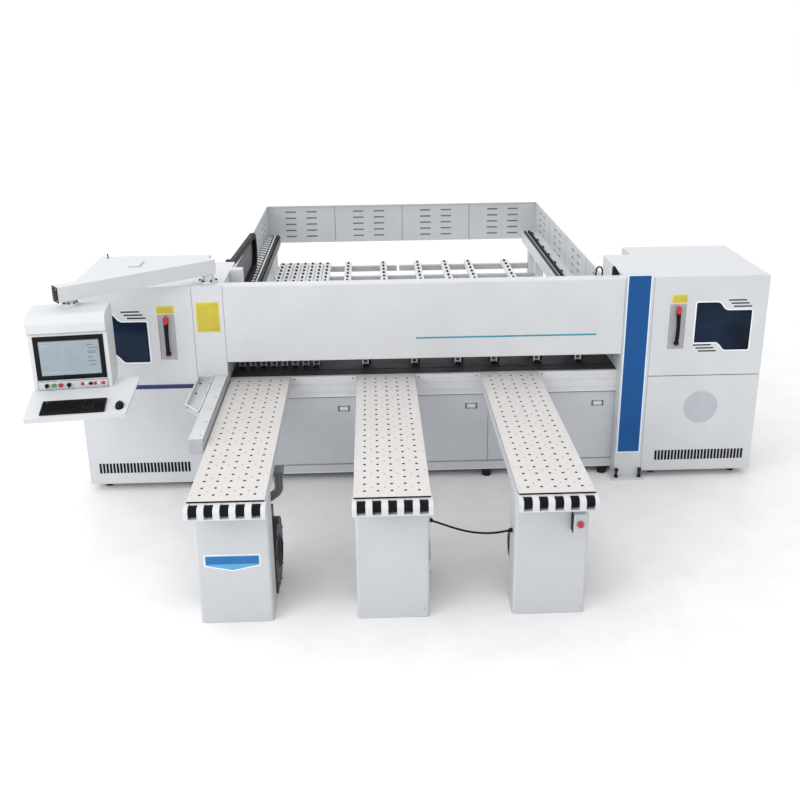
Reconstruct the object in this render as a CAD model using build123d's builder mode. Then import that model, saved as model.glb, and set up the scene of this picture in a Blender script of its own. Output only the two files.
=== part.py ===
"""Panel saw with a pressure beam, three air tables, a rear pusher and a swinging console.

Millimetres. X runs along the cut with 0 at the middle table, Y runs from the operator to the back
with the cut at 0, and Z runs up from the floor.
"""
import os
from math import atan2, cos, degrees, hypot, radians, sin, tan

from build123d import *

os.makedirs("parts", exist_ok=True)

# Sizes that drive the whole machine
work_h = 980.0
frame_top = work_h + 832.0
front_y = -235.0
bed_x = (-1310.0, 1975.0)
seam = 0.4
sheet = 4.0

# Air tables
table_len = 2160.0
table_w = 490.0
table_pitch = 1050.0
table_back = -150.0
table_plate = 18.0
plenum_h = 100.0
hole_r = 8.0
hole_cols, hole_col_pitch = 5, 88.0
hole_rows, hole_row_pitch = 22, 95.0
pedestal_d = 200.0
pedestal_setback = 121.0
pedestal_r = 22.0
cap_depth, cap_w, cap_low = 88.0, 512.0, work_h - 98.0
roller_r, roller_w, roller_pitch, roller_room = 36.0, 51.0, 99.0, 6.0
axle_r, axle_fit = 8.0, 0.1
rollers_per_table = 5

# Blowers behind the pedestals
blower_r, blower_w, blower_z = 245.0, 200.0, 265.0
blower_side = 155.0
blower_wall = 6.0
impeller_r, impeller_w = 190.0, 140.0
motor_r, motor_len = 95.0, 250.0
duct_r, duct_wall = 30.0, 3.0
outlet_top = 560.0
duct_back, duct_out, outlet_half = 94.0, 20.0, 55.0
collar_in, collar_out, collar_h = 95.0, 38.0, 24.0

# Bed under the cut
rail_low, rail_high = 66.0, 142.0
profile_low, profile_d = work_h - 190.0, 30.0
panel_y = -130.0
panel_t = 18.0
panel_lift = 12.0
panel_top = work_h - 200.0
panel_gap = 4.0
bed_plate_t = 40.0
slot_half = 8.0
bed_plate_back = 300.0
wall_y = (262.0, 274.0)
wall_top = work_h - 100.0
grip_w, grip_h, grip_z, grip_in = 105.0, 52.0, 670.0, 145.0
bed_foot_in = 70.0

# End posts with the tunnel for the saw
left_post_x = (-1565.0, -1310.0)
right_post_x = (1975.0, 2217.0)
post_back = 554.0
tunnel_y = (-120.0, 280.0)
tunnel_z = (120.0, work_h - 40.0)
blade_gap_y, blade_gap_top = 20.0, work_h + 120.0
foot_t, foot_out = 20.0, 50.0
banner_low, banner_over = 242.0, 28.0
screw_r, screw_h, screw_out, screw_in, nut_r, nut_t = 10.0, 100.0, 27.0, 21.0, 17.0, 18.0

# Cabinets at both ends
left_cab_x = (-2550.0, -1565.4)
right_cab_x = (2217.4, 3172.0)
cab_low, cab_split = 64.0, work_h - 34.0
cab_back = 842.0
door_t = 24.0
vent_count, vent_pitch, vent_w, vent_h, vent_z = 27, 29.0, 14.0, 88.0, 210.0
spigot_r, spigot_len, spigot_wall = 75.0, 100.0, 3.0
spigot_x, spigot_z = -2060.0, 420.0

# Door windows, handles and louvre lines, measured from the window's right edge
window_w, window_step, window_slant = 474.0, 218.0, 58.0
window_z = (work_h + 188.0, work_h + 258.0, work_h + 542.0, work_h + 613.0)
window_right = {"left": -1936.0, "right": 3052.0}
pane_t, pane_fit = 6.0, 0.4
plate_w, plate_z, plate_in = 135.0, (work_h + 210.0, work_h + 597.0), 8.0
plate_x = {"left": -1782.0, "right": 2428.0}
handle_pivot_z, handle_len, handle_w = work_h + 548.0, 285.0, 28.0
louvre_h, louvre_in, louvre_len, louvre_pitch, louvre_shift = 9.0, 3.0, 150.0, 27.0, 24.0

# Pressure beam
cover_low, cover_d, cover_bend = work_h + 176.0, 110.0, 16.0
press_low, press_high, press_web = work_h + 180.0, work_h + 350.0, 40.0
press_front, press_back = -110.0, 60.0
press_slot = 16.0
press_end = 20.0
cylinder_xs = (-1000.0, -50.0, 900.0, 1700.0)
cylinder_r, cylinder_low, rod_r, rod_fit = 40.0, work_h + 460.0, 12.5, 1.5
core_y, core_z = (130.0, 330.0), (work_h + 270.0, work_h + 660.0)
shelf_front, shelf_t = -100.0, 16.0

# Saw carriage, parked in the left cabinet
park_x = -1960.0
guide_x = (-2540.0, 3160.0)
guide_z = (work_h - 680.0, work_h - 420.0)
guide_w, guide_d = 25.0, 22.0
carriage_w, carriage_z = 640.0, (work_h - 740.0, work_h - 340.0)
carriage_y = (190.0, 210.0)
blade_r, blade_t, blade_teeth = 190.0, 3.2, 36
blade_dx, blade_z = -100.0, work_h - 215.0
score_r, score_dx, score_z = 90.0, 220.0, work_h - 198.0
flange_r, arbor_r, shaft_fit = 60.0, 20.0, 0.1
saw_motor_r, saw_motor_z = 115.0, work_h - 480.0
slide_z = (work_h - 600.0, work_h - 180.0)
motor_pulley_r, arbor_pulley_r = 66.0, 46.0
belt_y, belt_t = (34.0, 62.0), 8.0

# Pusher, its rails and grippers
left_beam_x = (-1432.0, -1262.0)
right_beam_x = (1855.0, 2056.0)
rail_beam_z = (work_h + 100.0, work_h + 220.0)
rail_beam_y = (post_back + seam, 4340.0)
left_rail, left_rack = -1289.0, -1336.0
right_rail, right_rack = 1886.0, 1938.0
rail_w, rail_h, rack_w, rack_h = 22.0, 22.0, 28.0, 24.0
leg_w, leg_ys = 100.0, (860.0, 2100.0, 3350.0, 3840.0)
pusher_y, pusher_z = (600.0, 780.0), (work_h + 255.0, work_h + 415.0)
pusher_x = (-1352.0, 1960.0)
tower_y, tower_z, tower_x = (640.0, 840.0), (work_h + 320.0, work_h + 660.0), (-1428.0, -1352.0)
chain_x, chain_t, chain_r = (-1428.0, -1358.0), 56.0, 180.0
chain_low_z, chain_front, chain_loop_y = work_h + 255.0, 1200.0, 2600.0
tray_t = 6.6

# Wheel rails behind the bed; the grippers run between them
row_start, row_pitch, row_count = -1191.0, 91.5, 7
single_rails = (-385.0, 45.0, 468.0, 805.0, 1098.0, 1553.0)
last_gripper = 1690.0
wheel_rail_y = (305.0, 3870.0)
wheel_rail_w, wheel_rail_z, wheel_rail_wall = 84.0, (work_h - 65.0, work_h - 18.0), 4.0
wheel_r, wheel_w, wheel_pitch, wheels_per_rail = 24.0, 22.0, 160.0, 22
pocket_w, pocket_len, wheel_fit = 28.0, 60.0, 0.3
cross_z = (work_h - 125.0, work_h - 65.4)
cross_d = 60.0
cross_break = (215.0, 245.0)
jaw_tip, jaw_w, jaw_t = 75.0, 30.0, 14.0
jaw_hinge = (385.0, work_h + 67.0)
grip_body_w = 40.0
grip_low, grip_plate, grip_top = work_h + 3.0, 12.0, work_h + 100.0

# Guard panels round the pusher
guard_back, guard_z, guard_t = 4547.0, (work_h + 90.0, work_h + 572.0), 3.0
guard_x = (-1435.4, 2059.4)
guard_count = 4
guard_slot = (135.0, 18.0)
guard_rows, guard_row_pitch, guard_col_pitch = 5, 80.0, 268.0
guard_lip = 22.0

# Side fence on the left table and its tray
fence_x, fence_z, fence_front = (-1420.0, -1320.0), (work_h - 55.0, work_h + 60.0), -1500.0
fence_wall = 5.0
tray_x, tray_z, tray_ends = (-1560.0, -1428.0), (work_h + 12.0, work_h + 54.0), (-840.0, -1000.0)

# Console on its swinging arm
pivot = (-1440.0, -100.0)
swivel = (-2354.0, -793.0)
arm_w, arm_z, arm_wall = 100.0, (frame_top + 70.0, frame_top + 186.0), 5.0
arm_back, arm_past = 50.0, 100.0
pivot_r, pivot_top = 60.0, frame_top + 18.0
console_turn = 6.2
console_half, console_low, console_high = 280.0, arm_z[0] - 632.0, arm_z[0] - 47.0
console_face, console_back, hood_out = -235.0, 60.0, 37.0
hood_low, hood_bend = console_high - 145.0, 75.0
console_cut, face_t = (45.0, 60.0), 18.0
stem_r = 32.0
screen_half, screen_in, screen_proud = 250.0, 14.0, 4.0
screen_z = (console_low + 85.0, console_low + 425.0)
button_z, button_r, button_stem, stem_fit = console_low + 45.0, 15.0, 12.6, 0.4
button_x = {"selector_left": -188.0, "start_button": -139.0, "stop_button": -90.0, "selector_right": -30.0}
shelf_left, shelf_right, shelf_flare, shelf_front_y, shelf_z = -296.0, 408.0, 61.0, -590.0, console_low - 70.0
shelf_tilt, shelf_depth, shelf_wing, shelf_sheet, shelf_lip = 12.5, 358.0, 480.0, 12.0, 34.0
keyboard_x, keyboard_y, keyboard_t = (-193.0, 258.0), (35.0, 200.0), 22.0
mouse_x, mouse_y, mouse_t = (324.0, 390.0), (48.0, 150.0), 34.0

# Emergency stop on the right pedestal
stop_box_x, stop_box_z, stop_box_d = (1178.0, 1264.0), (work_h - 336.0, work_h - 196.0), 62.0
stop_r, stop_stem, stop_proud = 21.0, 12.0, 26.0

# Cable slung between the middle and right pedestals
cable_r, cable_y = 7.0, -2090.0
cable_route = (
    (247.0, 680.0),
    (287.0, 668.0),
    (330.0, 650.0),
    (382.0, 629.0),
    (445.0, 605.0),
    (515.0, 585.0),
    (588.0, 573.0),
    (660.0, 570.0),
    (726.0, 576.0),
    (772.0, 586.0),
    (803.0, 589.0),
)

# Places worked out from the sizes above
table_xs = (-table_pitch, 0.0, table_pitch)
table_front = table_back - table_len
pedestal_front = table_front + pedestal_setback
plate_low = work_h - table_plate
plenum_low = plate_low - plenum_h
roller_y = table_front - cap_depth + roller_r + 2
roller_z = work_h - roller_r - 4
blower_y = pedestal_front + pedestal_d + blower_r + 10
duct_y = blower_y + duct_back
bed_plate_low = work_h - bed_plate_t
door_front = front_y
door_back = front_y + door_t
row_rails = tuple(row_start + row_pitch * i for i in range(row_count))
rail_xs = row_rails + single_rails
row_grips = tuple(row_start + row_pitch * (i - 0.5) for i in range(row_count + 1))
single_grips = tuple((a + b) / 2 for a, b in zip((row_rails[-1],) + single_rails, single_rails))
grip_xs = row_grips + single_grips[1:] + (last_gripper,)
arm_angle = degrees(atan2(swivel[1] - pivot[1], swivel[0] - pivot[0]))
arm_reach = hypot(swivel[0] - pivot[0], swivel[1] - pivot[1])
arm_plane = Plane(origin=(*pivot, 0), x_dir=(cos(radians(arm_angle)), sin(radians(arm_angle)), 0))
turn = radians(console_turn)
console_plane = Plane(origin=(*swivel, 0), x_dir=(cos(turn), sin(turn), 0))
console_side = Plane(
    origin=console_plane.from_local_coords((-console_half, 0, 0)),
    x_dir=(-sin(turn), cos(turn), 0),
    z_dir=(cos(turn), sin(turn), 0),
)
tilt = radians(shelf_tilt)
tray_plane = Plane(
    origin=console_plane.from_local_coords((0, shelf_front_y, shelf_z)),
    x_dir=(cos(turn), sin(turn), 0),
    z_dir=(sin(turn) * sin(tilt), -cos(turn) * sin(tilt), cos(tilt)),
)


def block(x, y, z, mode=Mode.ADD):
    """A box between two X, two Y and two Z values."""
    with Locations(((x[0] + x[1]) / 2, (y[0] + y[1]) / 2, (z[0] + z[1]) / 2)):
        Box(x[1] - x[0], y[1] - y[0], z[1] - z[0], mode=mode)


def bar_x(x, y, z, radius, mode=Mode.ADD):
    """A round bar along X."""
    with Locations(((x[0] + x[1]) / 2, y, z)):
        Cylinder(radius, x[1] - x[0], rotation=(0, 90, 0), mode=mode)


def bar_y(x, y, z, radius, mode=Mode.ADD):
    """A round bar along Y."""
    with Locations((x, (y[0] + y[1]) / 2, z)):
        Cylinder(radius, y[1] - y[0], rotation=(90, 0, 0), mode=mode)


def bar_z(x, y, z, radius, mode=Mode.ADD):
    """A round bar along Z."""
    with Locations((x, y, (z[0] + z[1]) / 2)):
        Cylinder(radius, z[1] - z[0], mode=mode)


def save(part, name):
    """Labels one finished piece and writes its file."""
    part.label = name
    export_step(part, f"parts/{name}.step")


# Air tables
with BuildPart() as table_tops:
    for x in table_xs:
        block((x - table_w / 2, x + table_w / 2), (table_front, table_back), (plate_low, work_h))
    for x in table_xs:
        with Locations((x, (table_front + table_back) / 2, work_h - table_plate / 2)):
            with GridLocations(hole_col_pitch, hole_row_pitch, hole_cols, hole_rows):
                Cylinder(hole_r, table_plate, mode=Mode.SUBTRACT)
save(table_tops.part, "table_tops")

with BuildPart() as table_plenums:
    half = table_w / 2 - 5
    for x in table_xs:
        block((x - half, x + half), (table_front + 6, table_back - seam), (plenum_low, plate_low - seam))
    for x in table_xs:
        block(
            (x - half + sheet, x + half - sheet),
            (table_front + 6 + sheet, table_back - seam - sheet),
            (plenum_low + sheet, plate_low),
            Mode.SUBTRACT,
        )
save(table_plenums.part, "table_plenums")

with BuildPart() as roller_caps:
    cap_back = table_front - seam
    cap_front = table_front - cap_depth
    for x in table_xs:
        with BuildSketch(Plane.YZ.offset(x - cap_w / 2)):
            with BuildLine():
                Polyline(
                    (cap_back, cap_low),
                    (cap_front, cap_low),
                    (cap_front, work_h - 10),
                    (cap_back, work_h - 10),
                    close=True,
                )
            make_face()
        extrude(amount=cap_w)
    fillet(roller_caps.edges().filter_by(Axis.X).group_by(Axis.Y)[0].group_by(Axis.Z)[-1], 34)
    fillet(roller_caps.edges().filter_by(Axis.X).group_by(Axis.Y)[0].group_by(Axis.Z)[0], 14)
    for x in table_xs:
        with Locations((x, 0, 0)):
            with GridLocations(roller_pitch, 1, rollers_per_table, 1):
                with Locations((0, roller_y - roller_room, roller_z)):
                    across = 2 * (roller_r + roller_room)
                    Box(roller_w + 5, across + 2 * roller_room, across, mode=Mode.SUBTRACT)
        bar_x((x - cap_w / 2 + 6, x + cap_w / 2 - 6), roller_y, roller_z, axle_r + axle_fit, Mode.SUBTRACT)
save(roller_caps.part, "roller_caps")

with BuildPart() as front_rollers:
    for x in table_xs:
        bar_x((x - cap_w / 2 + 8, x + cap_w / 2 - 8), roller_y, roller_z, axle_r)
        for i in range(rollers_per_table):
            at = x + (i - (rollers_per_table - 1) / 2) * roller_pitch
            bar_x((at - roller_w / 2, at + roller_w / 2), roller_y, roller_z, roller_r)
save(front_rollers.part, "front_rollers")

with BuildPart() as pedestals:
    back = pedestal_front + pedestal_d
    for x in table_xs:
        block((x - table_w / 2, x + table_w / 2), (pedestal_front, back), (0, plenum_low))
    fillet(pedestals.edges().filter_by(Axis.Z).group_by(Axis.Y)[0], pedestal_r)
    with BuildSketch(Plane.XY.offset(sheet)) as hollows:
        for x in table_xs:
            with Locations((x, pedestal_front + sheet)):
                Rectangle(table_w - 2 * sheet, pedestal_d, align=(Align.CENTER, Align.MIN))
        fillet(hollows.vertices().group_by(Axis.Y)[0], pedestal_r - sheet)
    extrude(amount=plenum_low - 2 * sheet, mode=Mode.SUBTRACT)
save(pedestals.part, "pedestals")

# Blowers that feed the air tables
with BuildPart() as blowers:
    for x in table_xs:
        side = (x + blower_side - blower_w / 2, x + blower_side + blower_w / 2)
        bar_x(side, blower_y, blower_z, blower_r)
        block(
            (x + blower_side - outlet_half, x + blower_side + outlet_half),
            (duct_y - outlet_half, duct_y + outlet_half),
            (blower_z, outlet_top),
        )
        block((side[0] + 10, side[1] - 10), (blower_y - 130, blower_y + 130), (0, 60))
        bar_x((side[0] - motor_len, side[0]), blower_y, blower_z, motor_r)
        block((side[0] - motor_len + 30, side[0] - 30), (blower_y - 70, blower_y + 70), (0, blower_z))
    for x in table_xs:
        side = (x + blower_side - blower_w / 2, x + blower_side + blower_w / 2)
        inner = (side[0] + blower_wall, side[1] - blower_wall)
        bar_x(inner, blower_y, blower_z, blower_r - blower_wall, Mode.SUBTRACT)
        bar_x((inner[0], side[1] + 1), blower_y, blower_z, 95, Mode.SUBTRACT)
        bar_x((side[0] - 80, inner[0] + 1), blower_y, blower_z, arbor_r + shaft_fit, Mode.SUBTRACT)
        bar_z(x + blower_side, duct_y, (blower_z, outlet_top + 1), duct_r - duct_wall, Mode.SUBTRACT)
save(blowers.part, "blowers")

with BuildPart() as blower_impellers:
    for x in table_xs:
        mid = x + blower_side
        rim = (mid - impeller_w / 2, mid + impeller_w / 2)
        bar_x(rim, blower_y, blower_z, impeller_r)
        bar_x((rim[0] + 10, rim[1] + 1), blower_y, blower_z, impeller_r - 55, Mode.SUBTRACT)
        bar_x((mid - blower_w / 2 - 75, rim[0] + 30), blower_y, blower_z, arbor_r)
save(blower_impellers.part, "blower_impellers")

with BuildPart() as air_ducts:
    out_x = table_xs[0] + blower_side
    in_x = table_xs[0] + table_w / 2 + duct_out
    collar_low = plenum_low - seam - collar_h
    with BuildLine():
        FilletPolyline(
            (out_x, duct_y, outlet_top + seam),
            (out_x, duct_y, outlet_top + 50),
            (in_x, duct_y, outlet_top + 130),
            (in_x, duct_y, collar_low - seam),
            radius=70,
        )
    with BuildSketch(Plane.XY.offset(outlet_top + seam)):
        with Locations((out_x, duct_y)):
            Circle(duct_r)
            Circle(duct_r - duct_wall, mode=Mode.SUBTRACT)
    sweep()
    block(
        (in_x - collar_in, in_x + collar_out),
        (duct_y - outlet_half, duct_y + outlet_half),
        (collar_low, collar_low + collar_h),
    )
    for x in table_xs[1:]:
        at = (x + blower_side, duct_y)
        bar_z(*at, (outlet_top + seam, plenum_low - seam), duct_r)
        bar_z(*at, (outlet_top, plenum_low), duct_r - duct_wall, Mode.SUBTRACT)
save(air_ducts.part, "air_ducts")

# Emergency stop on the right pedestal
stop_face = pedestal_front - seam - stop_box_d
stop_mid = (sum(stop_box_x) / 2, sum(stop_box_z) / 2)
with BuildPart() as stop_box:
    block(stop_box_x, (stop_face, pedestal_front - seam), stop_box_z)
    fillet(stop_box.edges().filter_by(Axis.Y), 8)
    bar_y(stop_mid[0], (stop_face - 1, stop_face + 30), stop_mid[1], stop_stem + stem_fit, Mode.SUBTRACT)
save(stop_box.part, "stop_box")

with BuildPart() as stop_knob:
    bar_y(stop_mid[0], (stop_face - stop_proud, stop_face - stop_proud + 16), stop_mid[1], stop_r)
    bar_y(stop_mid[0], (stop_face - stop_proud + 16, stop_face + 18), stop_mid[1], stop_stem)
    fillet(stop_knob.edges().group_by(Axis.Y)[0], 6)
save(stop_knob.part, "emergency_stop")

# Side fence and its tray
with BuildPart() as side_fence:
    block(fence_x, (fence_front, front_y - seam), fence_z)
    block(
        (fence_x[0] + fence_wall, fence_x[1] - fence_wall),
        (fence_front + fence_wall, front_y),
        (fence_z[0] + fence_wall, fence_z[1] - fence_wall),
        Mode.SUBTRACT,
    )
    with BuildSketch(Plane.XY.offset(tray_z[0])):
        with BuildLine():
            Polyline(
                (tray_x[0], front_y - seam),
                (tray_x[0], tray_ends[0]),
                (tray_x[1], tray_ends[1]),
                (tray_x[1], front_y - seam),
                close=True,
            )
        make_face()
    extrude(amount=tray_z[1] - tray_z[0])
    trough = (tray_x[0] + sheet, tray_x[1] - sheet)
    block(trough, (tray_ends[1] - 100, front_y), (tray_z[0] + sheet, tray_z[1] + 1), Mode.SUBTRACT)
    block((tray_x[1] - 1, fence_x[0] + 1), (front_y - 180, front_y - 60), (tray_z[0], tray_z[0] + 20))
save(side_fence.part, "side_fence")

# Bed below the cut
panel_w = (bed_x[1] - bed_x[0]) / 3
panel_xs = tuple(bed_x[0] + panel_w * i for i in range(4))
with BuildPart() as bed_frame:
    block(bed_x, (panel_y, panel_y + 60), (rail_low, rail_high))
    block(bed_x, (panel_y + panel_t + 2, panel_y + 70), (panel_top + seam, bed_plate_low - seam))
    for x in panel_xs:
        low = max(x - 30, bed_x[0])
        high = min(x + 30, bed_x[1])
        block((low, high), (panel_y + panel_t + seam, panel_y + 60), (rail_high + seam, panel_top))
    for x in (panel_xs[0] + bed_foot_in, panel_xs[1], 0.0, panel_xs[2], panel_xs[3] - bed_foot_in):
        block((x - 30, x + 30), (panel_y + 60 + seam, wall_y[0] - seam), (rail_low, rail_high - 10))
    block(bed_x, (wall_y[0], wall_y[1] + 56), (rail_low, rail_high))
    block(guide_x, wall_y, (rail_high + seam, wall_top))
    block(bed_x, (wall_y[0] - 60, wall_y[1]), (wall_top + seam, bed_plate_low - seam))
save(bed_frame.part, "bed_frame")

with BuildPart() as bed_top:
    plate_z_range = (bed_plate_low, work_h)
    plate_x_range = (bed_x[0] + seam, bed_x[1] - seam)
    block(plate_x_range, (table_back + profile_d + seam, -slot_half), plate_z_range)
    block(plate_x_range, (slot_half, bed_plate_back), plate_z_range)
save(bed_top.part, "bed_top")

with BuildPart() as front_profile:
    with BuildSketch(Plane.YZ.offset(bed_x[0] + seam)):
        with Locations((table_back + profile_d / 2, (profile_low + work_h - 2) / 2)):
            Rectangle(profile_d, work_h - 2 - profile_low)
        for z in (profile_low + 45, work_h - 75):
            with Locations((table_back, z)):
                Rectangle(16, 9, mode=Mode.SUBTRACT)
            with Locations((table_back + 11, z)):
                Rectangle(8, 20, mode=Mode.SUBTRACT)
    extrude(amount=bed_x[1] - bed_x[0] - 2 * seam)
save(front_profile.part, "front_profile")

for number in range(3):
    right = panel_xs[number + 1] - panel_gap / 2
    with BuildPart() as access_panel:
        block(
            (panel_xs[number] + panel_gap / 2, right),
            (panel_y, panel_y + panel_t),
            (rail_high + panel_lift, panel_top - panel_gap),
        )
        grip_x = right - grip_in
        block(
            (grip_x - grip_w / 2, grip_x + grip_w / 2),
            (panel_y - 1, panel_y + 14),
            (grip_z - grip_h / 2, grip_z + grip_h / 2),
            Mode.SUBTRACT,
        )
    save(access_panel.part, f"access_panel_{number + 1}")


# End posts
def post(x):
    """A box column with a tunnel for the saw, on a foot plate."""
    wide = (x[0] - 15, x[1] + 15)
    y = (front_y, post_back)
    mid = (tunnel_y[0] + seam, tunnel_y[1] - seam)
    block(wide, (y[0] - foot_out, y[1] + foot_out), (0, foot_t))
    for ends in ((y[0], tunnel_y[0]), (tunnel_y[1], y[1])):
        block(x, ends, (foot_t + seam, frame_top))
        block((x[0] + 8, x[1] - 8), (ends[0] + 8, ends[1] - 8), (foot_t, frame_top - 8), Mode.SUBTRACT)
    block(x, mid, (foot_t + seam, tunnel_z[0]))
    block(x, (mid[0], -blade_gap_y), (tunnel_z[1], blade_gap_top - seam))
    block(x, (blade_gap_y, mid[1]), (tunnel_z[1], blade_gap_top - seam))
    block(x, mid, (blade_gap_top, frame_top))
    for sx in (x[0] + screw_in, x[1] - screw_in):
        for sy in (y[0] - screw_out, y[1] + screw_out):
            bar_z(sx, sy, (-1, foot_t + 1), screw_r + 1, Mode.SUBTRACT)


with BuildPart() as left_post:
    post(left_post_x)
    bar_z(*pivot, (frame_top + seam, pivot_top), pivot_r)
save(left_post.part, "left_post")

with BuildPart() as right_post:
    post(right_post_x)
save(right_post.part, "right_post")

with BuildPart() as banner_panel:
    block(
        (right_post_x[0] + 14, right_post_x[1] - 22),
        (front_y - 3 - seam, front_y - seam),
        (banner_low, frame_top + banner_over),
    )
save(banner_panel.part, "banner_panel")


# Cabinets
def cabinet(x, outer, wall_opening):
    """Sheet walls of one end cabinet; outer is the X of the free side."""
    inner = x[0] if outer == x[1] else x[1]
    into = 1 if outer == x[0] else -1
    skin = tuple(sorted((outer, outer + into * sheet)))
    inside = tuple(sorted((outer + into * (sheet + seam), inner)))
    front = (front_y, front_y + sheet)
    upper_y = (door_back + 1, cab_back)
    block(x, front, (cab_low, cab_split - 2))
    block(skin, (front[1] + seam, cab_back), (cab_low, cab_split - 2))
    block(skin, upper_y, (cab_split - 2 + seam, frame_top - sheet - seam))
    tall = (cab_low + sheet + seam, frame_top - sheet - seam)
    block(inside, (cab_back - sheet, cab_back), tall)
    block(x, upper_y, (frame_top - sheet, frame_top))
    block(inside, (front[1] + seam, cab_back - seam), (cab_low, cab_low + sheet))
    lining = tuple(sorted((inner, inner - into * sheet)))
    block(lining, (post_back + seam, cab_back - sheet - seam), tall)
    with Locations((sum(x) / 2 - into * 20, front_y + sheet / 2, vent_z)):
        with GridLocations(vent_pitch, 1, vent_count, 1):
            Box(vent_w, 3 * sheet, vent_h, mode=Mode.SUBTRACT)
    if wall_opening:
        through = (cab_back - 2 * sheet, cab_back + 1)
        bar_y(spigot_x, through, spigot_z, spigot_r - spigot_wall, Mode.SUBTRACT)


with BuildPart() as left_cabinet:
    cabinet(left_cab_x, left_cab_x[0], True)
    bar_y(spigot_x, (cab_back, cab_back + spigot_len), spigot_z, spigot_r)
    bore = (cab_back - 1, cab_back + spigot_len + 1)
    bar_y(spigot_x, bore, spigot_z, spigot_r - spigot_wall, Mode.SUBTRACT)
save(left_cabinet.part, "left_cabinet")

with BuildPart() as right_cabinet:
    cabinet(right_cab_x, right_cab_x[1], False)
save(right_cabinet.part, "right_cabinet")

with BuildPart() as electric_panel:
    back = cab_back - sheet - seam
    block((2320, 3080), (back - 12, back), (320, 1560))
    for z, deep, count in ((1380, 90, 8), (1120, 70, 10), (860, 110, 6), (560, 160, 4)):
        with Locations((2700, back - 12 - deep / 2, z)):
            with GridLocations(720 / count, 1, count, 1):
                Box(600 / count, deep, 150)
save(electric_panel.part, "electric_panel")

with BuildPart() as levelling_feet:
    for x in (left_cab_x, right_cab_x):
        for fx in (x[0] + 120, x[1] - 120):
            for fy in (front_y + 120, cab_back - 120):
                bar_z(fx, fy, (0, cab_low - seam), 32)
    for fx in (panel_xs[0] + bed_foot_in, panel_xs[1], panel_xs[2], panel_xs[3] - bed_foot_in):
        for fy in (panel_y + 30, wall_y[1] + 25):
            bar_z(fx, fy, (0, rail_low - seam), 40)
    bar_z(0, 0, (0, rail_low - seam), 45)
    for x in (left_post_x, right_post_x):
        for sx in (x[0] + screw_in, x[1] - screw_in):
            for sy in (front_y - screw_out, post_back + screw_out):
                bar_z(sx, sy, (0, screw_h), screw_r)
                bar_z(sx, sy, (foot_t + seam, foot_t + nut_t), nut_r)
                bar_z(sx, sy, (screw_h - nut_t, screw_h), nut_r)
save(levelling_feet.part, "levelling_feet")


# Doors with their windows and handles
def window_outline(right, grow):
    """Corners of the stepped window; grow moves every side out."""
    left = right - window_w
    step = right - window_step
    slope = window_slant
    z0, z1, z2, z3 = window_z
    return (
        (left - grow, z1 - grow),
        (step - slope, z1 - grow),
        (step, z0 - grow),
        (right + grow, z0 - grow),
        (right + grow, z2 + grow),
        (step, z2 + grow),
        (step - slope, z3 + grow),
        (left - grow, z3 + grow),
    )


for side, x in (("left", left_cab_x), ("right", right_cab_x)):
    right = window_right[side]
    with BuildPart() as door:
        block(x, (door_front, door_back), (cab_split + 4, frame_top))
        with BuildSketch(Plane.XZ.offset(-door_back - 1)):
            with BuildLine():
                Polyline(*window_outline(right, 0), close=True)
            make_face()
        extrude(amount=door_t + 2, mode=Mode.SUBTRACT)
        px = plate_x[side]
        block(
            (px - plate_w / 2, px + plate_w / 2),
            (door_front - 1, door_front + plate_in),
            plate_z,
            Mode.SUBTRACT,
        )
        for i in range(3):
            high = right - window_step + 10 + i * louvre_shift
            low = right - window_w + i * louvre_shift
            drop = i * louvre_pitch
            for start, z in ((high, window_z[3] + 8 - drop), (low, window_z[1] - 24 - drop)):
                block(
                    (start, start + louvre_len),
                    (door_front - 1, door_front + louvre_in),
                    (z, z + louvre_h),
                    Mode.SUBTRACT,
                )
    save(door.part, f"{side}_door")

    with BuildPart() as window:
        with BuildSketch(Plane.XZ.offset(-door_front - 10 - pane_t)):
            with BuildLine():
                Polyline(*window_outline(right, -pane_fit), close=True)
            make_face()
        extrude(amount=pane_t)
    save(window.part, f"{side}_window")

    with BuildPart() as handle:
        floor = door_front + plate_in - seam
        bar_y(px, (floor - 36, floor), handle_pivot_z, 24)
        handle_low = handle_pivot_z - handle_len
        block((px - handle_w / 2, px + handle_w / 2), (floor - 36, floor - 18), (handle_low, handle_pivot_z))
        bar_y(px, (floor - 40, floor - 14), handle_low, 21)
        fillet(handle.edges().group_by(Axis.Y)[0], 3)
    save(handle.part, f"{side}_handle")

# Pressure beam, its cover and its lift
with BuildPart() as beam_cover:
    with BuildSketch(Plane.YZ.offset(bed_x[0] + seam)) as cover_section:
        with Locations((front_y + cover_d / 2, (cover_low + frame_top) / 2)):
            Rectangle(cover_d, frame_top - cover_low)
        fillet(cover_section.vertices().group_by(Axis.Y)[-1], cover_bend)
        offset(amount=-sheet, kind=Kind.INTERSECTION, mode=Mode.SUBTRACT)
    extrude(amount=bed_x[1] - bed_x[0] - 2 * seam)
save(beam_cover.part, "beam_cover")

with BuildPart() as beam_core:
    span = (bed_x[0] + seam, bed_x[1] - seam)
    block(span, core_y, (core_z[0], core_z[1] - seam))
    block(span, (core_y[0] + 10, core_y[1] - 10), (core_z[0] + 10, core_z[1] - seam - 10), Mode.SUBTRACT)
    block(span, (shelf_front, core_y[1]), (core_z[1], core_z[1] + shelf_t))
save(beam_core.part, "beam_core")

with BuildPart() as lift_cylinders:
    for x in cylinder_xs:
        bar_z(x, -20, (cylinder_low, core_z[1] - seam), cylinder_r)
        bar_z(x, -20, (cylinder_low - 1, core_z[1] - 12), rod_r + rod_fit, Mode.SUBTRACT)
save(lift_cylinders.part, "lift_cylinders")

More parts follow.
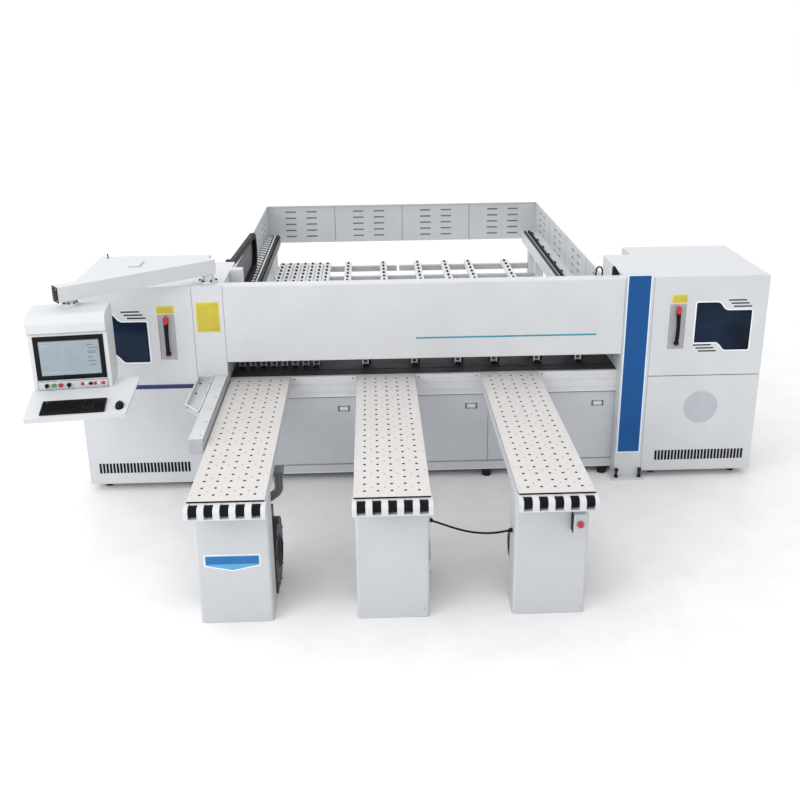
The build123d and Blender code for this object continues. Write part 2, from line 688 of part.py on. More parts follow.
with BuildPart() as pressure_beam:
    span = (bed_x[0] + press_end, bed_x[1] - press_end)
    block(span, (press_front, -press_slot), (press_low, press_high - seam))
    block(span, (press_slot, press_back), (press_low, press_high - seam))
    block(span, (press_front, press_back), (press_high, press_high + press_web))
    for end, x in ((span[0], bed_x[0]), (span[1], bed_x[1])):
        shoe = (min(end, x) + seam, max(end, x)) if x < end else (end, x - seam)
        block(shoe, (press_front + 20, press_back - 20), (press_high, press_high + press_web))
    for x in cylinder_xs:
        bar_z(x, -20, (press_high + press_web, core_z[1] - 14), rod_r)
save(pressure_beam.part, "pressure_beam")

# Saw carriage
with BuildPart() as saw_carriage:
    block((park_x - carriage_w / 2, park_x + carriage_w / 2), carriage_y, carriage_z)
    for z in guide_z:
        for x in (park_x - carriage_w / 2 + 60, park_x + carriage_w / 2 - 60):
            block((x - 50, x + 50), (carriage_y[1], wall_y[0] - 8), (z - 28, z + guide_w + 28))
            groove_y = (wall_y[0] - guide_d - seam, wall_y[0])
            block((x - 51, x + 51), groove_y, (z - seam, z + guide_w + seam), Mode.SUBTRACT)
save(saw_carriage.part, "saw_carriage")

main_x, score_x = park_x + blade_dx, park_x + score_dx
slide_face = carriage_y[0] - seam
with BuildPart() as saw_slide:
    block((park_x - 150, park_x + 290), (slide_face - 20, slide_face), slide_z)
    bar_y(main_x, (70, slide_face - 20), blade_z, 48)
    bar_y(main_x, (70, slide_face - 20), saw_motor_z, saw_motor_r)
    bar_y(score_x, (40, slide_face - 20), score_z, 42)
    bar_y(main_x, (69, 150), blade_z, arbor_r + shaft_fit, Mode.SUBTRACT)
    bar_y(score_x, (39, 130), score_z, 12 + shaft_fit, Mode.SUBTRACT)
    bar_y(main_x, (30, 70), saw_motor_z, motor_pulley_r)
save(saw_slide.part, "saw_slide")

with BuildPart() as main_blade:
    bar_y(main_x, (-blade_t / 2, blade_t / 2), blade_z, blade_r)
    with Locations(Plane((main_x, 0, blade_z), x_dir=(1, 0, 0), z_dir=(0, 1, 0))):
        with PolarLocations(blade_r, blade_teeth):
            Box(14, 9, 2 * blade_t, mode=Mode.SUBTRACT)
    bar_y(main_x, (-14, 14), blade_z, flange_r)
    bar_y(main_x, (-30, 140), blade_z, arbor_r)
    bar_y(main_x, (30, 66), blade_z, arbor_pulley_r)
save(main_blade.part, "main_blade")

with BuildPart() as scoring_blade:
    bar_y(score_x, (-blade_t / 2, blade_t / 2), score_z, score_r)
    with Locations(Plane((score_x, 0, score_z), x_dir=(1, 0, 0), z_dir=(0, 1, 0))):
        with PolarLocations(score_r, 20):
            Box(9, 7, 2 * blade_t, mode=Mode.SUBTRACT)
    bar_y(score_x, (-12, 12), score_z, 32)
    bar_y(score_x, (-18, 120), score_z, 12)
save(scoring_blade.part, "scoring_blade")

with BuildPart() as drive_belt:
    with BuildSketch(Plane.XZ.offset(-belt_y[1])):
        for z, pulley in ((blade_z, arbor_pulley_r), (saw_motor_z, motor_pulley_r)):
            with Locations((main_x, z)):
                Circle(pulley + seam + belt_t)
        make_hull()
        offset(amount=-belt_t, mode=Mode.SUBTRACT)
    extrude(amount=belt_y[1] - belt_y[0])
save(drive_belt.part, "drive_belt")

# Pusher rails
with BuildPart() as rail_beams:
    for x, legs in ((left_beam_x, left_beam_x[1] - leg_w), (right_beam_x, right_beam_x[0])):
        block(x, rail_beam_y, rail_beam_z)
        for y in leg_ys:
            leg_y = (y - leg_w / 2, y + leg_w / 2)
            block((legs, legs + leg_w), leg_y, (foot_t + seam, rail_beam_z[0] - seam))
            block((legs - 30, legs + leg_w + 30), (y - 80, y + 80), (0, foot_t))
    chain_tray_y = (chain_front - 60, rail_beam_y[1] - 90)
    block(chain_x, chain_tray_y, (rail_beam_z[1] + seam, rail_beam_z[1] + tray_t))
save(rail_beams.part, "rail_beams")

with BuildPart() as guide_rails:
    top = rail_beam_z[1] + seam
    along = (rail_beam_y[0] + 10, rail_beam_y[1] - 10)
    for x in (left_rail, right_rail):
        block((x - rail_w / 2, x + rail_w / 2), along, (top, top + rail_h))
    for x in (left_rack, right_rack):
        block((x - rack_w / 2, x + rack_w / 2), along, (top, top + rack_h))
    for z in guide_z:
        block(guide_x, (wall_y[0] - guide_d, wall_y[0] - seam), (z, z + guide_w))
save(guide_rails.part, "guide_rails")

with BuildPart() as pusher_beam:
    block(pusher_x, pusher_y, pusher_z)
    block(
        (pusher_x[0] - 1, pusher_x[1] + 1),
        (pusher_y[0] + 8, pusher_y[1] - 8),
        (pusher_z[0] + 8, pusher_z[1] - 8),
        Mode.SUBTRACT,
    )
    for x in (left_rail, right_rail):
        block((x - 26, x + 26), pusher_y, (rail_beam_z[1] + 4, pusher_z[0] + 4))
        groove_x = (x - rail_w / 2 - seam, x + rail_w / 2 + seam)
        groove_z = (rail_beam_z[1], rail_beam_z[1] + 2 * seam + rail_h)
        block(groove_x, (pusher_y[0] - 1, pusher_y[1] + 1), groove_z, Mode.SUBTRACT)
    block(tower_x, tower_y, tower_z)
    block((1560, 1760), (pusher_y[0] + 10, pusher_y[1] - 10), (pusher_z[1], pusher_z[1] + 150))
save(pusher_beam.part, "pusher_beam")

with BuildPart() as gripper_bodies:
    hanger = (pusher_y[0] + 10, pusher_y[0] + 90)
    for x in grip_xs:
        half = grip_body_w / 2
        block((x - half, x + half), (jaw_tip, hanger[1]), (grip_low, grip_low + grip_plate))
        block((x - half, x + half), (jaw_hinge[0] + 15, hanger[1]), (grip_low, grip_top))
        block((x - half, x + half), hanger, (grip_low, pusher_z[0] - seam))
        ear = (jaw_hinge[0] - 15, jaw_hinge[0] + 16)
        for low in (x - half, x + jaw_w / 2 + 1):
            block((low, low + half - jaw_w / 2 - 1), ear, (jaw_hinge[1] - 17, jaw_hinge[1] + 17))
save(gripper_bodies.part, "gripper_bodies")

with BuildPart() as gripper_jaws:
    for x in grip_xs:
        block(
            (x - jaw_w / 2, x + jaw_w / 2),
            (jaw_tip, jaw_hinge[0]),
            (jaw_hinge[1] - jaw_t / 2, jaw_hinge[1] + jaw_t / 2),
        )
        bar_x((x - jaw_w / 2 - 0.7, x + jaw_w / 2 + 0.7), jaw_hinge[0], jaw_hinge[1], 9)
save(gripper_jaws.part, "gripper_jaws")

with BuildPart() as drag_chain:
    chain_mid = sum(chain_x) / 2
    with BuildLine():
        Line((chain_mid, chain_front, chain_low_z), (chain_mid, chain_loop_y, chain_low_z))
        ThreePointArc(
            (chain_mid, chain_loop_y, chain_low_z),
            (chain_mid, chain_loop_y + chain_r, chain_low_z + chain_r),
            (chain_mid, chain_loop_y, chain_low_z + 2 * chain_r),
        )
        Line(
            (chain_mid, chain_loop_y, chain_low_z + 2 * chain_r),
            (chain_mid, tower_y[1] + seam, chain_low_z + 2 * chain_r),
        )
    with BuildSketch(Plane((chain_mid, chain_front, chain_low_z), x_dir=(1, 0, 0), z_dir=(0, 1, 0))):
        Rectangle(chain_x[1] - chain_x[0], chain_t)
        Rectangle(chain_x[1] - chain_x[0] - 16, chain_t - 14, mode=Mode.SUBTRACT)
    sweep()
save(drag_chain.part, "drag_chain")

# Wheel rails behind the bed
wheel_ys = tuple(wheel_rail_y[1] - 60 - i * wheel_pitch for i in range(wheels_per_rail))
with BuildPart() as wheel_rail:
    half = wheel_rail_w / 2
    block((-half, half), wheel_rail_y, wheel_rail_z)
    web = pocket_w / 2 + wheel_rail_wall
    hollow_y = (wheel_rail_y[0] - 1, wheel_rail_y[1] + 1)
    hollow_z = (wheel_rail_z[0] - 1, wheel_rail_z[1] - wheel_rail_wall)
    for hollow_x in ((-half + wheel_rail_wall, -web), (web, half - wheel_rail_wall)):
        block(hollow_x, hollow_y, hollow_z, Mode.SUBTRACT)
    for y in wheel_ys:
        pocket_y = (y - pocket_len / 2, y + pocket_len / 2)
        pocket_z = (wheel_rail_z[0] + wheel_rail_wall, work_h)
        block((-pocket_w / 2, pocket_w / 2), pocket_y, pocket_z, Mode.SUBTRACT)
one_rail = wheel_rail.part
save(Compound(children=[Pos(x, 0, 0) * one_rail for x in rail_xs]), "wheel_rails")

with BuildPart() as rail_wheel:
    with BuildSketch(Plane.YZ) as wheel_side:
        Circle(wheel_r)
    with BuildSketch(Plane.YZ) as pin_side:
        Circle(5)
    extrude(wheel_side.sketch, amount=wheel_w / 2, both=True)
    extrude(pin_side.sketch, amount=pocket_w / 2 - wheel_fit, both=True)
one_wheel = rail_wheel.part
wheel_spots = [(x, y, work_h - wheel_r) for x in rail_xs for y in wheel_ys]
save(Compound(children=[Pos(*spot) * one_wheel for spot in wheel_spots]), "rail_wheels")

with BuildPart() as cross_tubes:
    low, high = left_beam_x[1] + seam, right_beam_x[0] - seam
    for y in leg_ys[:-1]:
        block((low, high), (y - cross_d / 2, y + cross_d / 2), cross_z)
    for ends in ((low, cross_break[0]), (cross_break[1], high)):
        block(ends, (leg_ys[-1] - cross_d / 2, leg_ys[-1] + cross_d / 2), cross_z)
save(cross_tubes.part, "cross_tubes")

# Guard panels round the pusher
with BuildPart() as guard_panels:
    rear_w = (guard_x[1] - guard_x[0]) / guard_count
    side_y = (rail_beam_y[0] + 4, guard_back - seam)
    side_w = (side_y[1] - side_y[0]) / guard_count
    mid_z = sum(guard_z) / 2
    for i in range(guard_count):
        x0 = guard_x[0] + i * rear_w
        block((x0 + seam, x0 + rear_w - seam), (guard_back, guard_back + guard_t), guard_z)
        lip_x = (max(x0 + 1, guard_x[0] + guard_t + 1), min(x0 + rear_w, guard_x[1] - guard_t) - 1)
        block(lip_x, (guard_back - guard_lip, guard_back), (guard_z[1] - guard_t, guard_z[1]))
        y0 = side_y[0] + i * side_w
        for x in ((guard_x[0], guard_x[0] + guard_t), (guard_x[1] - guard_t, guard_x[1])):
            block(x, (y0, y0 + side_w - 1), guard_z)
    for i in range(guard_count):
        with Locations((guard_x[0] + (i + 0.5) * rear_w, guard_back, mid_z)):
            with GridLocations(guard_col_pitch, 1, 2, 1):
                for row in range(guard_rows):
                    with Locations((0, 0, (row - 2) * guard_row_pitch)):
                        Box(guard_slot[0], 4 * guard_t, guard_slot[1], mode=Mode.SUBTRACT)
        for x in guard_x:
            with Locations((x, side_y[0] + (i + 0.5) * side_w, mid_z)):
                with GridLocations(1, guard_col_pitch, 1, 2):
                    for row in range(guard_rows):
                        with Locations((0, 0, (row - 2) * guard_row_pitch)):
                            Box(4 * guard_t, guard_slot[0], guard_slot[1], mode=Mode.SUBTRACT)
    for x in (left_beam_x, right_beam_x):
        arm_mid = sum(x) / 2
        arm_y = (rail_beam_y[1] + seam, guard_back - seam)
        block((arm_mid - 30, arm_mid + 30), arm_y, (rail_beam_z[0] + 30, rail_beam_z[1] - 30))
save(guard_panels.part, "guard_panels")

# Console on its arm
with BuildPart(arm_plane) as console_arm:
    block((-arm_back, arm_reach + arm_past), (-arm_w / 2, arm_w / 2), arm_z)
    block(
        (-arm_back - 1, arm_reach + arm_past - arm_wall),
        (-arm_w / 2 + arm_wall, arm_w / 2 - arm_wall),
        (arm_z[0] + arm_wall, arm_z[1] - arm_wall),
        Mode.SUBTRACT,
    )
    bar_z(0, 0, (pivot_top + seam, arm_z[0]), pivot_r - 12)
save(console_arm.part, "console_arm")

with BuildPart(console_plane) as console_box:
    with BuildSketch(console_side) as console_section:
        with BuildLine():
            Polyline(
                (console_back, console_low + console_cut[1]),
                (console_back - console_cut[0], console_low),
                (console_face, console_low),
                (console_face, hood_low),
                (console_face - hood_out, hood_low + 20),
                (console_face - hood_out, console_high),
                (console_back, console_high),
                close=True,
            )
        make_face()
        fillet(console_section.vertices().group_by(Axis.Y)[-1].sort_by(Axis.X)[0], hood_bend)
    extrude(amount=2 * console_half)
    with BuildSketch(console_side.offset(sheet)):
        with BuildLine():
            Polyline(
                (console_back - sheet, console_low + console_cut[1] + 2),
                (console_back - console_cut[0] - 2, console_low + 6),
                (console_face + face_t, console_low + 6),
                (console_face + face_t, hood_low + 60),
                (console_back - sheet, hood_low + 60),
                close=True,
            )
        make_face()
    extrude(amount=2 * (console_half - sheet), mode=Mode.SUBTRACT)
    bar_y(0, (console_back - 8, console_back + 1), console_low + 110, 30, Mode.SUBTRACT)
    recess = (console_face - 1, console_face + screen_in)
    block((-screen_half, screen_half), recess, screen_z, Mode.SUBTRACT)
    for x in button_x.values():
        bar_y(x, (console_face - 1, console_face + 20), button_z, button_stem + stem_fit, Mode.SUBTRACT)
    bar_z(0, 0, (console_high, arm_z[0] - seam), stem_r)
    bar_z(0, 0, (console_high, console_high + 12), stem_r + 26)
save(console_box.part, "console_box")

with BuildPart(console_plane) as monitor:
    fit = seam
    block(
        (-screen_half + fit, screen_half - fit),
        (console_face - screen_proud, console_face + screen_in - fit),
        (screen_z[0] + fit, screen_z[1] - fit),
    )
save(monitor.part, "monitor")

for name, x in button_x.items():
    deep = 30 if name.startswith("selector") else 16
    with BuildPart(console_plane) as button:
        bar_y(x, (console_face - deep, console_face - 6), button_z, button_r)
        bar_y(x, (console_face - 6, console_face + 10), button_z, button_stem)
        if name.startswith("selector"):
            flank_y = (console_face - deep - 1, console_face - 14)
            for low in (x - button_r - 1, x + 5):
                block((low, low + button_r - 4), flank_y, (button_z - 20, button_z + 20), Mode.SUBTRACT)
    save(button.part, name)

with BuildPart(tray_plane) as keyboard_tray:
    wing = console_half + seam
    with BuildSketch(tray_plane):
        with BuildLine():
            Polyline(
                (shelf_left, 0),
                (shelf_right, 0),
                (shelf_right + shelf_flare, shelf_wing),
                (wing, shelf_wing),
                (wing, shelf_depth),
                (shelf_left, shelf_depth),
                close=True,
            )
        make_face()
    extrude(amount=-shelf_sheet)
    block((shelf_left, shelf_right), (0, 4), (-shelf_lip, -shelf_sheet))
save(keyboard_tray.part, "keyboard_tray")

with BuildPart(tray_plane) as keyboard:
    block(keyboard_x, keyboard_y, (seam, keyboard_t))
    fillet(keyboard.edges().filter_by(lambda e: abs(e.length - keyboard_t + seam) < 0.01), 8)
save(keyboard.part, "keyboard")

with BuildPart(tray_plane) as mouse:
    block(mouse_x, mouse_y, (seam, mouse_t))
    fillet(mouse.edges().filter_by(lambda e: abs(e.length - mouse_t + seam) < 0.01), 28)
    fillet(mouse.faces().sort_by(Axis.Z)[-1].edges(), 12)
save(mouse.part, "mouse")

# Cable between the pedestals
radii = []
for before, at, after in zip(cable_route, cable_route[1:], cable_route[2:]):
    run_in = hypot(at[0] - before[0], at[1] - before[1])
    run_out = hypot(after[0] - at[0], after[1] - at[1])
    bend = atan2(after[1] - at[1], after[0] - at[0]) - atan2(at[1] - before[1], at[0] - before[0])
    radii.append(0.45 * min(run_in, run_out) / tan(abs(bend) / 2))
print("cable bend radii", [round(r) for r in radii])
with BuildPart() as table_cable:
    with BuildLine():
        FilletPolyline(*[(x, cable_y, z) for x, z in cable_route], radius=radii)
    start = Vector(cable_route[1][0] - cable_route[0][0], 0, cable_route[1][1] - cable_route[0][1])
    with BuildSketch(Plane((cable_route[0][0], cable_y, cable_route[0][1]), x_dir=(0, 1, 0), z_dir=start)):
        Circle(cable_r)
    sweep()
save(table_cable.part, "table_cable")
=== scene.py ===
"""Looks of the panel saw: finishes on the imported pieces, and the finer pieces modelled round them."""
from math import cos, pi, radians, sin

import bmesh
import bpy
from mathutils import Matrix, Vector


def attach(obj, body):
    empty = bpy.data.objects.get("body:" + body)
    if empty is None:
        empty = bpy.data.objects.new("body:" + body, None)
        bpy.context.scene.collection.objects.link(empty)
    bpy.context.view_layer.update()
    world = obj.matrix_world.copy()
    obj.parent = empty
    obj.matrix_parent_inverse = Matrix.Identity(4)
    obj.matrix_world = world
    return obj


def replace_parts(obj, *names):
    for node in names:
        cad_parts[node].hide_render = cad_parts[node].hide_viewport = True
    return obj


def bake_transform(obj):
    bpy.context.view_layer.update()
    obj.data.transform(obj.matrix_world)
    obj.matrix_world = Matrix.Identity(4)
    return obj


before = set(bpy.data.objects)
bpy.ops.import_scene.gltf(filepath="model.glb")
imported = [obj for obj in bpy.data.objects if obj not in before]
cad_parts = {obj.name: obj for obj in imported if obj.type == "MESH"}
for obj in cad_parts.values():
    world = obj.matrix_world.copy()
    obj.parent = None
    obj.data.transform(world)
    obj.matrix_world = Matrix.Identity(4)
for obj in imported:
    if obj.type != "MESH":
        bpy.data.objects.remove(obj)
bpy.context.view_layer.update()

MM = 0.001

# Camera fitted to the photograph
EYE = (-0.10118, -7.67033, 3.84585)
YAW, PITCH, ROLL = 0.030039, -0.327566, -0.011299
LENS, SHIFT_UP = 42.731, -0.075

# Places on the machine, in millimetres
FRONT_Y = -235.0
FRAME_TOP = 1812.0
WORK_H = 980.0
TABLE_XS = (-1050.0, 0.0, 1050.0)
TABLE_HALF = 245.0
TABLE_Y = (-2310.0, -150.0)
ROLLER_Y, ROLLER_Z = -2360.0, 940.0
PEDESTAL_FRONT = -2189.0
STOP_FACE = -2251.4
BLOWER_Y, BLOWER_Z = -1734.0, 265.0
PANEL_EDGES = (-1310.0, -215.0, 880.0, 1975.0)
PANEL_FACE, STRIP_FACE = -130.0, -150.0
CABINET_X = {"left": (-2550.0, -1565.4), "right": (2217.4, 3172.0)}
CABINET_BACK = 842.0
DOOR_HINGE = {"left": -2550.0, "right": 3172.0}
WINDOW_RIGHT = {"left": -1936.0, "right": 3052.0}
RECESS_X = {"left": -1782.0, "right": 2428.0}
VENT_START = (-2454.7, 2337.7)
RAIL_XS = tuple(-1191.0 + 91.5 * i for i in range(7)) + (-385.0, 45.0, 468.0, 805.0, 1098.0, 1553.0)
CLOSE_GRIP_XS = tuple(-1191.0 + 91.5 * (i - 0.5) for i in range(8))
SINGLE_GRIP_XS = (-170.0, 256.5, 636.5, 951.5, 1325.5, 1690.0)
PUSHER_Y, PUSHER_TOP = (564.4, 4330.0), 1200.4
CHAIN_X = -1403.0
GUARD_X, GUARD_BACK = (-1435.4, 2059.4), 4547.0

# Frames of the console, its shelf and its arm, in metres
CONSOLE = Matrix.Translation((-2.354, -0.793, 0)) @ Matrix.Rotation(radians(6.2), 4, "Z")
SHELF = CONSOLE @ Matrix.Translation((0, -0.590, 1.180)) @ Matrix.Rotation(radians(12.5), 4, "X")
ARM_SPAN = Vector((-914.0, -693.0))
ARM_TURN = Matrix.Rotation(ARM_SPAN.angle_signed(Vector((1, 0))), 4, "Z")
ARM = Matrix.Translation((-1.440, -0.100, 0)) @ ARM_TURN

# Turns from +Z towards a direction; "yz" takes an outline drawn in X and Y to Y and Z
AIM = {
    "x": Matrix.Rotation(pi / 2, 4, "Y"),
    "-x": Matrix.Rotation(-pi / 2, 4, "Y"),
    "y": Matrix.Rotation(-pi / 2, 4, "X"),
    "-y": Matrix.Rotation(pi / 2, 4, "X"),
    "z": Matrix.Identity(4),
    "-z": Matrix.Rotation(pi, 4, "X"),
    "yz": Matrix(((0, 0, 1, 0), (1, 0, 0, 0), (0, 1, 0, 0), (0, 0, 0, 1))),
}
# Least cosine between a face's normal and the way it looks
SQUARE_ON = 0.99


def set_camera():
    """The camera at the photograph's viewing angle."""
    forward = Vector((sin(YAW) * cos(PITCH), cos(YAW) * cos(PITCH), sin(PITCH)))
    right = Vector((cos(YAW), -sin(YAW), 0))
    up = right.cross(forward)
    across = right * cos(ROLL) + up * sin(ROLL)
    upright = up * cos(ROLL) - right * sin(ROLL)
    view = bpy.data.cameras.new("photo_camera")
    view.sensor_width = 36.0
    view.lens = LENS
    view.shift_y = SHIFT_UP
    view.clip_end = 200.0
    camera = bpy.data.objects.new("photo_camera", view)
    bpy.context.scene.collection.objects.link(camera)
    turn = Matrix((across, upright, -forward)).transposed().to_4x4()
    camera.matrix_world = Matrix.Translation(EYE) @ turn
    bpy.context.scene.camera = camera


def set_studio():
    """White surround, brighter overhead and from the left, a softbox at the left front and a pale floor."""
    scene = bpy.context.scene
    scene.view_settings.view_transform = "Standard"
    world = bpy.data.worlds.new("white_surround")
    world.use_nodes = True
    tree = world.node_tree
    direction = add(tree, "SeparateXYZ", Vector=add(tree, "TexCoord").outputs["Generated"])
    overhead = add(tree, "MapRange", Value=direction.outputs["Z"], To_Min=1.09, To_Max=1.32)
    leftward = add(tree, "MapRange", Value=direction.outputs["X"], From_Min=-1.0, To_Min=0.4, To_Max=-0.3)
    strength = combined(tree, "ADD", overhead.outputs["Result"], leftward.outputs["Result"])
    feed(tree.nodes["Background"], Color=(1.0, 1.0, 1.0, 1.0), Strength=strength)
    scene.world = world
    glow = bpy.data.lights.new("left_softbox", "AREA")
    glow.shape = "RECTANGLE"
    glow.size, glow.size_y = 5.0, 3.5
    glow.energy = 190.0
    softbox = bpy.data.objects.new("left_softbox", glow)
    scene.collection.objects.link(softbox)
    softbox.location = (-5.6, -6.2, 4.6)
    aim = Vector((0.0, 0.0, 0.9)) - softbox.location
    softbox.rotation_euler = aim.to_track_quat("-Z", "Y").to_euler()
    bpy.ops.mesh.primitive_plane_add(size=90.0, location=(0, 0, -0.001))
    floor = bpy.context.object
    floor.name = "studio_floor"
    pale = finish("pale_floor", (0.80, 0.80, 0.80), (0.6, 0.7), grain=(40.0, 0.1), specular=0.2)
    floor.data.materials.append(pale)


# Finishes


def feed(node, **inputs):
    """Sets inputs of a shader node by name, each to a value or to another node's output."""
    for name, value in inputs.items():
        socket = node.inputs[name.replace("_", " ")]
        if isinstance(value, bpy.types.NodeSocket):
            node.id_data.links.new(value, socket)
        else:
            socket.default_value = value
    return node


def add(tree, kind, **inputs):
    """A new shader node with its inputs set."""
    return feed(tree.nodes.new("ShaderNode" + kind), **inputs)


def combined(tree, how, *pair):
    """Two values added or multiplied."""
    result = add(tree, "Math")
    result.operation = how
    for value, socket in zip(pair, result.inputs):
        tree.links.new(value, socket)
    return result.outputs["Value"]


def laid_over(tree, amount, under, colour):
    """A colour laid over another one by an amount."""
    veil = add(tree, "Mix")
    veil.data_type = "RGBA"
    return feed(veil, Factor=amount, A=under, B=colour).outputs["Result"]


def finish(
    name, colour, rough, metal=0, patch=(3, 0.03), grain=(700, 0.05),
    along=(1, 1, 1), dust=0, edge=0, specular=0.5,
):
    """A surface with slow colour change, fine bump, uneven gloss, floor dust and lit edges."""
    made = bpy.data.materials.new(name)
    made.use_nodes = True
    tree = made.node_tree
    place = add(tree, "TexCoord").outputs["Object"]
    cloud = add(tree, "TexNoise", Vector=place, Scale=patch[0], Detail=5, Roughness=0.62).outputs["Fac"]
    tone = add(tree, "ValToRGB", Fac=cloud)
    for stop, at, sign in zip(tone.color_ramp.elements, (0.32, 0.68), (-1, 1)):
        stop.position = at
        stop.color = tuple(min(1.0, c * (1 + sign * patch[1])) for c in colour) + (1.0,)
    shade = tone.outputs["Color"]
    stretch = add(tree, "Mapping", Vector=place, Scale=along).outputs["Vector"]
    fine = add(tree, "TexNoise", Vector=stretch, Scale=grain[0], Detail=2).outputs["Fac"]
    uneven = fine if metal else cloud
    gloss = add(tree, "MapRange", Value=uneven, From_Min=0.3, From_Max=0.7, To_Min=rough[0], To_Max=rough[1])
    bump = add(tree, "Bump", Height=fine, Strength=0.25, Distance=grain[1] * MM)
    if edge:
        soft = add(tree, "Bevel", Radius=edge * MM)
        soft.samples = 4
        feed(bump, Normal=soft.outputs["Normal"])
    if dust:
        height = add(tree, "SeparateXYZ", Vector=place).outputs["Z"]
        low = add(tree, "MapRange", Value=height, From_Max=0.35, To_Min=dust, To_Max=0).outputs["Result"]
        shade = laid_over(tree, combined(tree, "MULTIPLY", low, cloud), shade, (0.34, 0.32, 0.29, 1.0))
    skin = feed(tree.nodes["Principled BSDF"], Metallic=metal, Specular_IOR_Level=specular)
    feed(skin, Base_Color=shade, Roughness=gloss.outputs["Result"], Normal=bump.outputs["Normal"])
    return made


def film(name, colour, rough=(0.35, 0.48), patch=(6, 0.08), bump=0.02, specular=0.5):
    """A smooth even plate, film or lens."""
    return finish(name, colour, rough, 0, patch, (900, bump), specular=specular)


def table_laminate():
    """Warm white board of the air tables, with fine scuffs along the feed."""
    made = finish("table_laminate", (0.575, 0.552, 0.54), (0.3, 0.42), 0, (2.2, 0.025), (1500, 0.02))
    tree = made.node_tree
    place = add(tree, "TexCoord").outputs["Object"]
    pull = add(tree, "Mapping", Vector=place, Scale=(160, 2.2, 160)).outputs["Vector"]
    scuff = add(tree, "TexNoise", Vector=pull, Scale=1, Detail=3).outputs["Fac"]
    thin = add(tree, "MapRange", Value=scuff, From_Min=0.63, From_Max=0.75, To_Max=0.16).outputs["Result"]
    skin = tree.nodes["Principled BSDF"]
    before = skin.inputs["Base Color"].links[0].from_socket
    feed(skin, Base_Color=laid_over(tree, thin, before, (0.45, 0.42, 0.405, 1.0)))
    return made


def lit_screen(name, colour, glow):
    """A part of the display that shines a little."""
    made = finish(name, colour, (0.12, 0.2), 0, (9, 0.06), (1800, 0.01))
    feed(made.node_tree.nodes["Principled BSDF"], Emission_Color=colour + (1.0,), Emission_Strength=glow)
    return made


BRUSHED_X, BRUSHED_Y = (0.03, 1, 1), (1, 0.05, 1)
FINISH = {
    "white_paint": finish("white_powder_coat", (0.565, 0.581, 0.605), (0.36, 0.5), dust=0.14, edge=2.5),
    # Painted shade: the white paint made darker for parts that sit in shade under the tables and beam
    "shade_paint": finish("shaded_white_powder_coat", (0.52, 0.543, 0.578), (0.4, 0.55), dust=0.16, edge=2),
    "guard_paint": finish("guard_powder_coat", (0.515, 0.542, 0.562), (0.4, 0.52), edge=1.5),
    "blue_film": finish("blue_banner_film", (0.006, 0.075, 0.25), (0.4, 0.5), 0, (1.6, 0.1), specular=0.2),
    "table_board": table_laminate(),
    # Painted shade: the ground steel made near-black, as dark as the bed in the shaded passage under the beam
    "dark_steel": finish(
        "shaded_ground_steel", (0.022, 0.023, 0.026), (0.42, 0.58), 0, (5, 0.25), (260, 0.03), BRUSHED_X,
        edge=2, specular=0.25,
    ),
    "bright_steel": finish(
        "ground_steel", (0.56, 0.57, 0.59), (0.22, 0.42), 1, (6, 0.12), (420, 0.03), BRUSHED_Y, edge=1
    ),
    "black_steel": finish(
        "blackened_steel", (0.007, 0.007, 0.008), (0.4, 0.55), 0, (8, 0.3), (500, 0.04), specular=0.25
    ),
    "aluminium": finish(
        "anodised_aluminium", (0.70, 0.71, 0.73), (0.28, 0.42), 1, (4, 0.06), (600, 0.02), BRUSHED_X, edge=1
    ),
    "blower_paint": finish(
        "blower_enamel", (0.02, 0.021, 0.025), (0.4, 0.55), 0, (5, 0.2), dust=0.3, edge=2, specular=0.3
    ),
    "duct_grey": finish("duct_grey_plastic", (0.10, 0.104, 0.11), (0.32, 0.42), 0, (6, 0.12), (300, 0.1)),
    "black_rubber": finish(
        "black_rubber", (0.006, 0.006, 0.007), (0.6, 0.75), 0, (7, 0.3), (450, 0.15), specular=0.1
    ),
    "black_plastic": finish(
        "black_plastic", (0.007, 0.007, 0.008), (0.4, 0.55), 0, (9, 0.25), (900, 0.1), specular=0.12
    ),
    "screen": finish("screen_glass", (0.02, 0.024, 0.03), (0.06, 0.12), 0, (6, 0.2), (200, 0.005)),
    "dark_pane": finish(
        "dark_pane", (0.004, 0.0125, 0.030), (0.1, 0.18), 0, (2.4, 0.6), (60, 0.01), specular=0.14
    ),
    "red_plastic": finish("red_plastic", (0.50, 0.012, 0.014), (0.25, 0.38), 0, (12, 0.12), (800, 0.04)),
    "green_plastic": finish("green_plastic", (0.02, 0.30, 0.06), (0.25, 0.38), 0, (12, 0.12), (800, 0.04)),
    "relay_plastic": finish("relay_grey", (0.36, 0.38, 0.40), (0.45, 0.6), 0, (9, 0.15), (600, 0.05)),
}
YELLOW_PLATE = film("yellow_plate", (0.50, 0.42, 0.03), patch=(10, 0.08), bump=0.03)
YELLOW_RIM = film("yellow_rim", (0.62, 0.57, 0.22), patch=(10, 0.06), bump=0.03)
PALE_RIM = film("pale_rim", (0.80, 0.81, 0.82), (0.32, 0.44), (10, 0.04), 0.03)
BANNER_RIM = film("banner_rim", (0.70, 0.78, 0.86), patch=(6, 0.06))
TEAL_FILM = film("teal_film", (0.02, 0.25, 0.33), (0.28, 0.4), (6, 0.12))
NAVY_FILM = film("navy_film", (0.012, 0.032, 0.14), (0.35, 0.45), (6, 0.15))
SKY_FILM = film("sky_film", (0.10, 0.32, 0.56), specular=0.3)
SHIELD_FILM = film("shield_film", (0.02, 0.135, 0.36), specular=0.3)
STRIP_GREY = film("button_strip_grey", (0.48, 0.495, 0.52), (0.4, 0.52), (9, 0.05), 0.04)
LAMP_WHITE = film("lamp_white", (0.62, 0.60, 0.58), (0.18, 0.28), (14, 0.05))
BADGE_GREY = film("badge_grey", (0.43, 0.445, 0.50), (0.3, 0.42), (6, 0.05))
RECESS_GREY = finish("recess_grey", (0.36, 0.37, 0.385), (0.45, 0.58), 0, (8, 0.08), (700, 0.06))
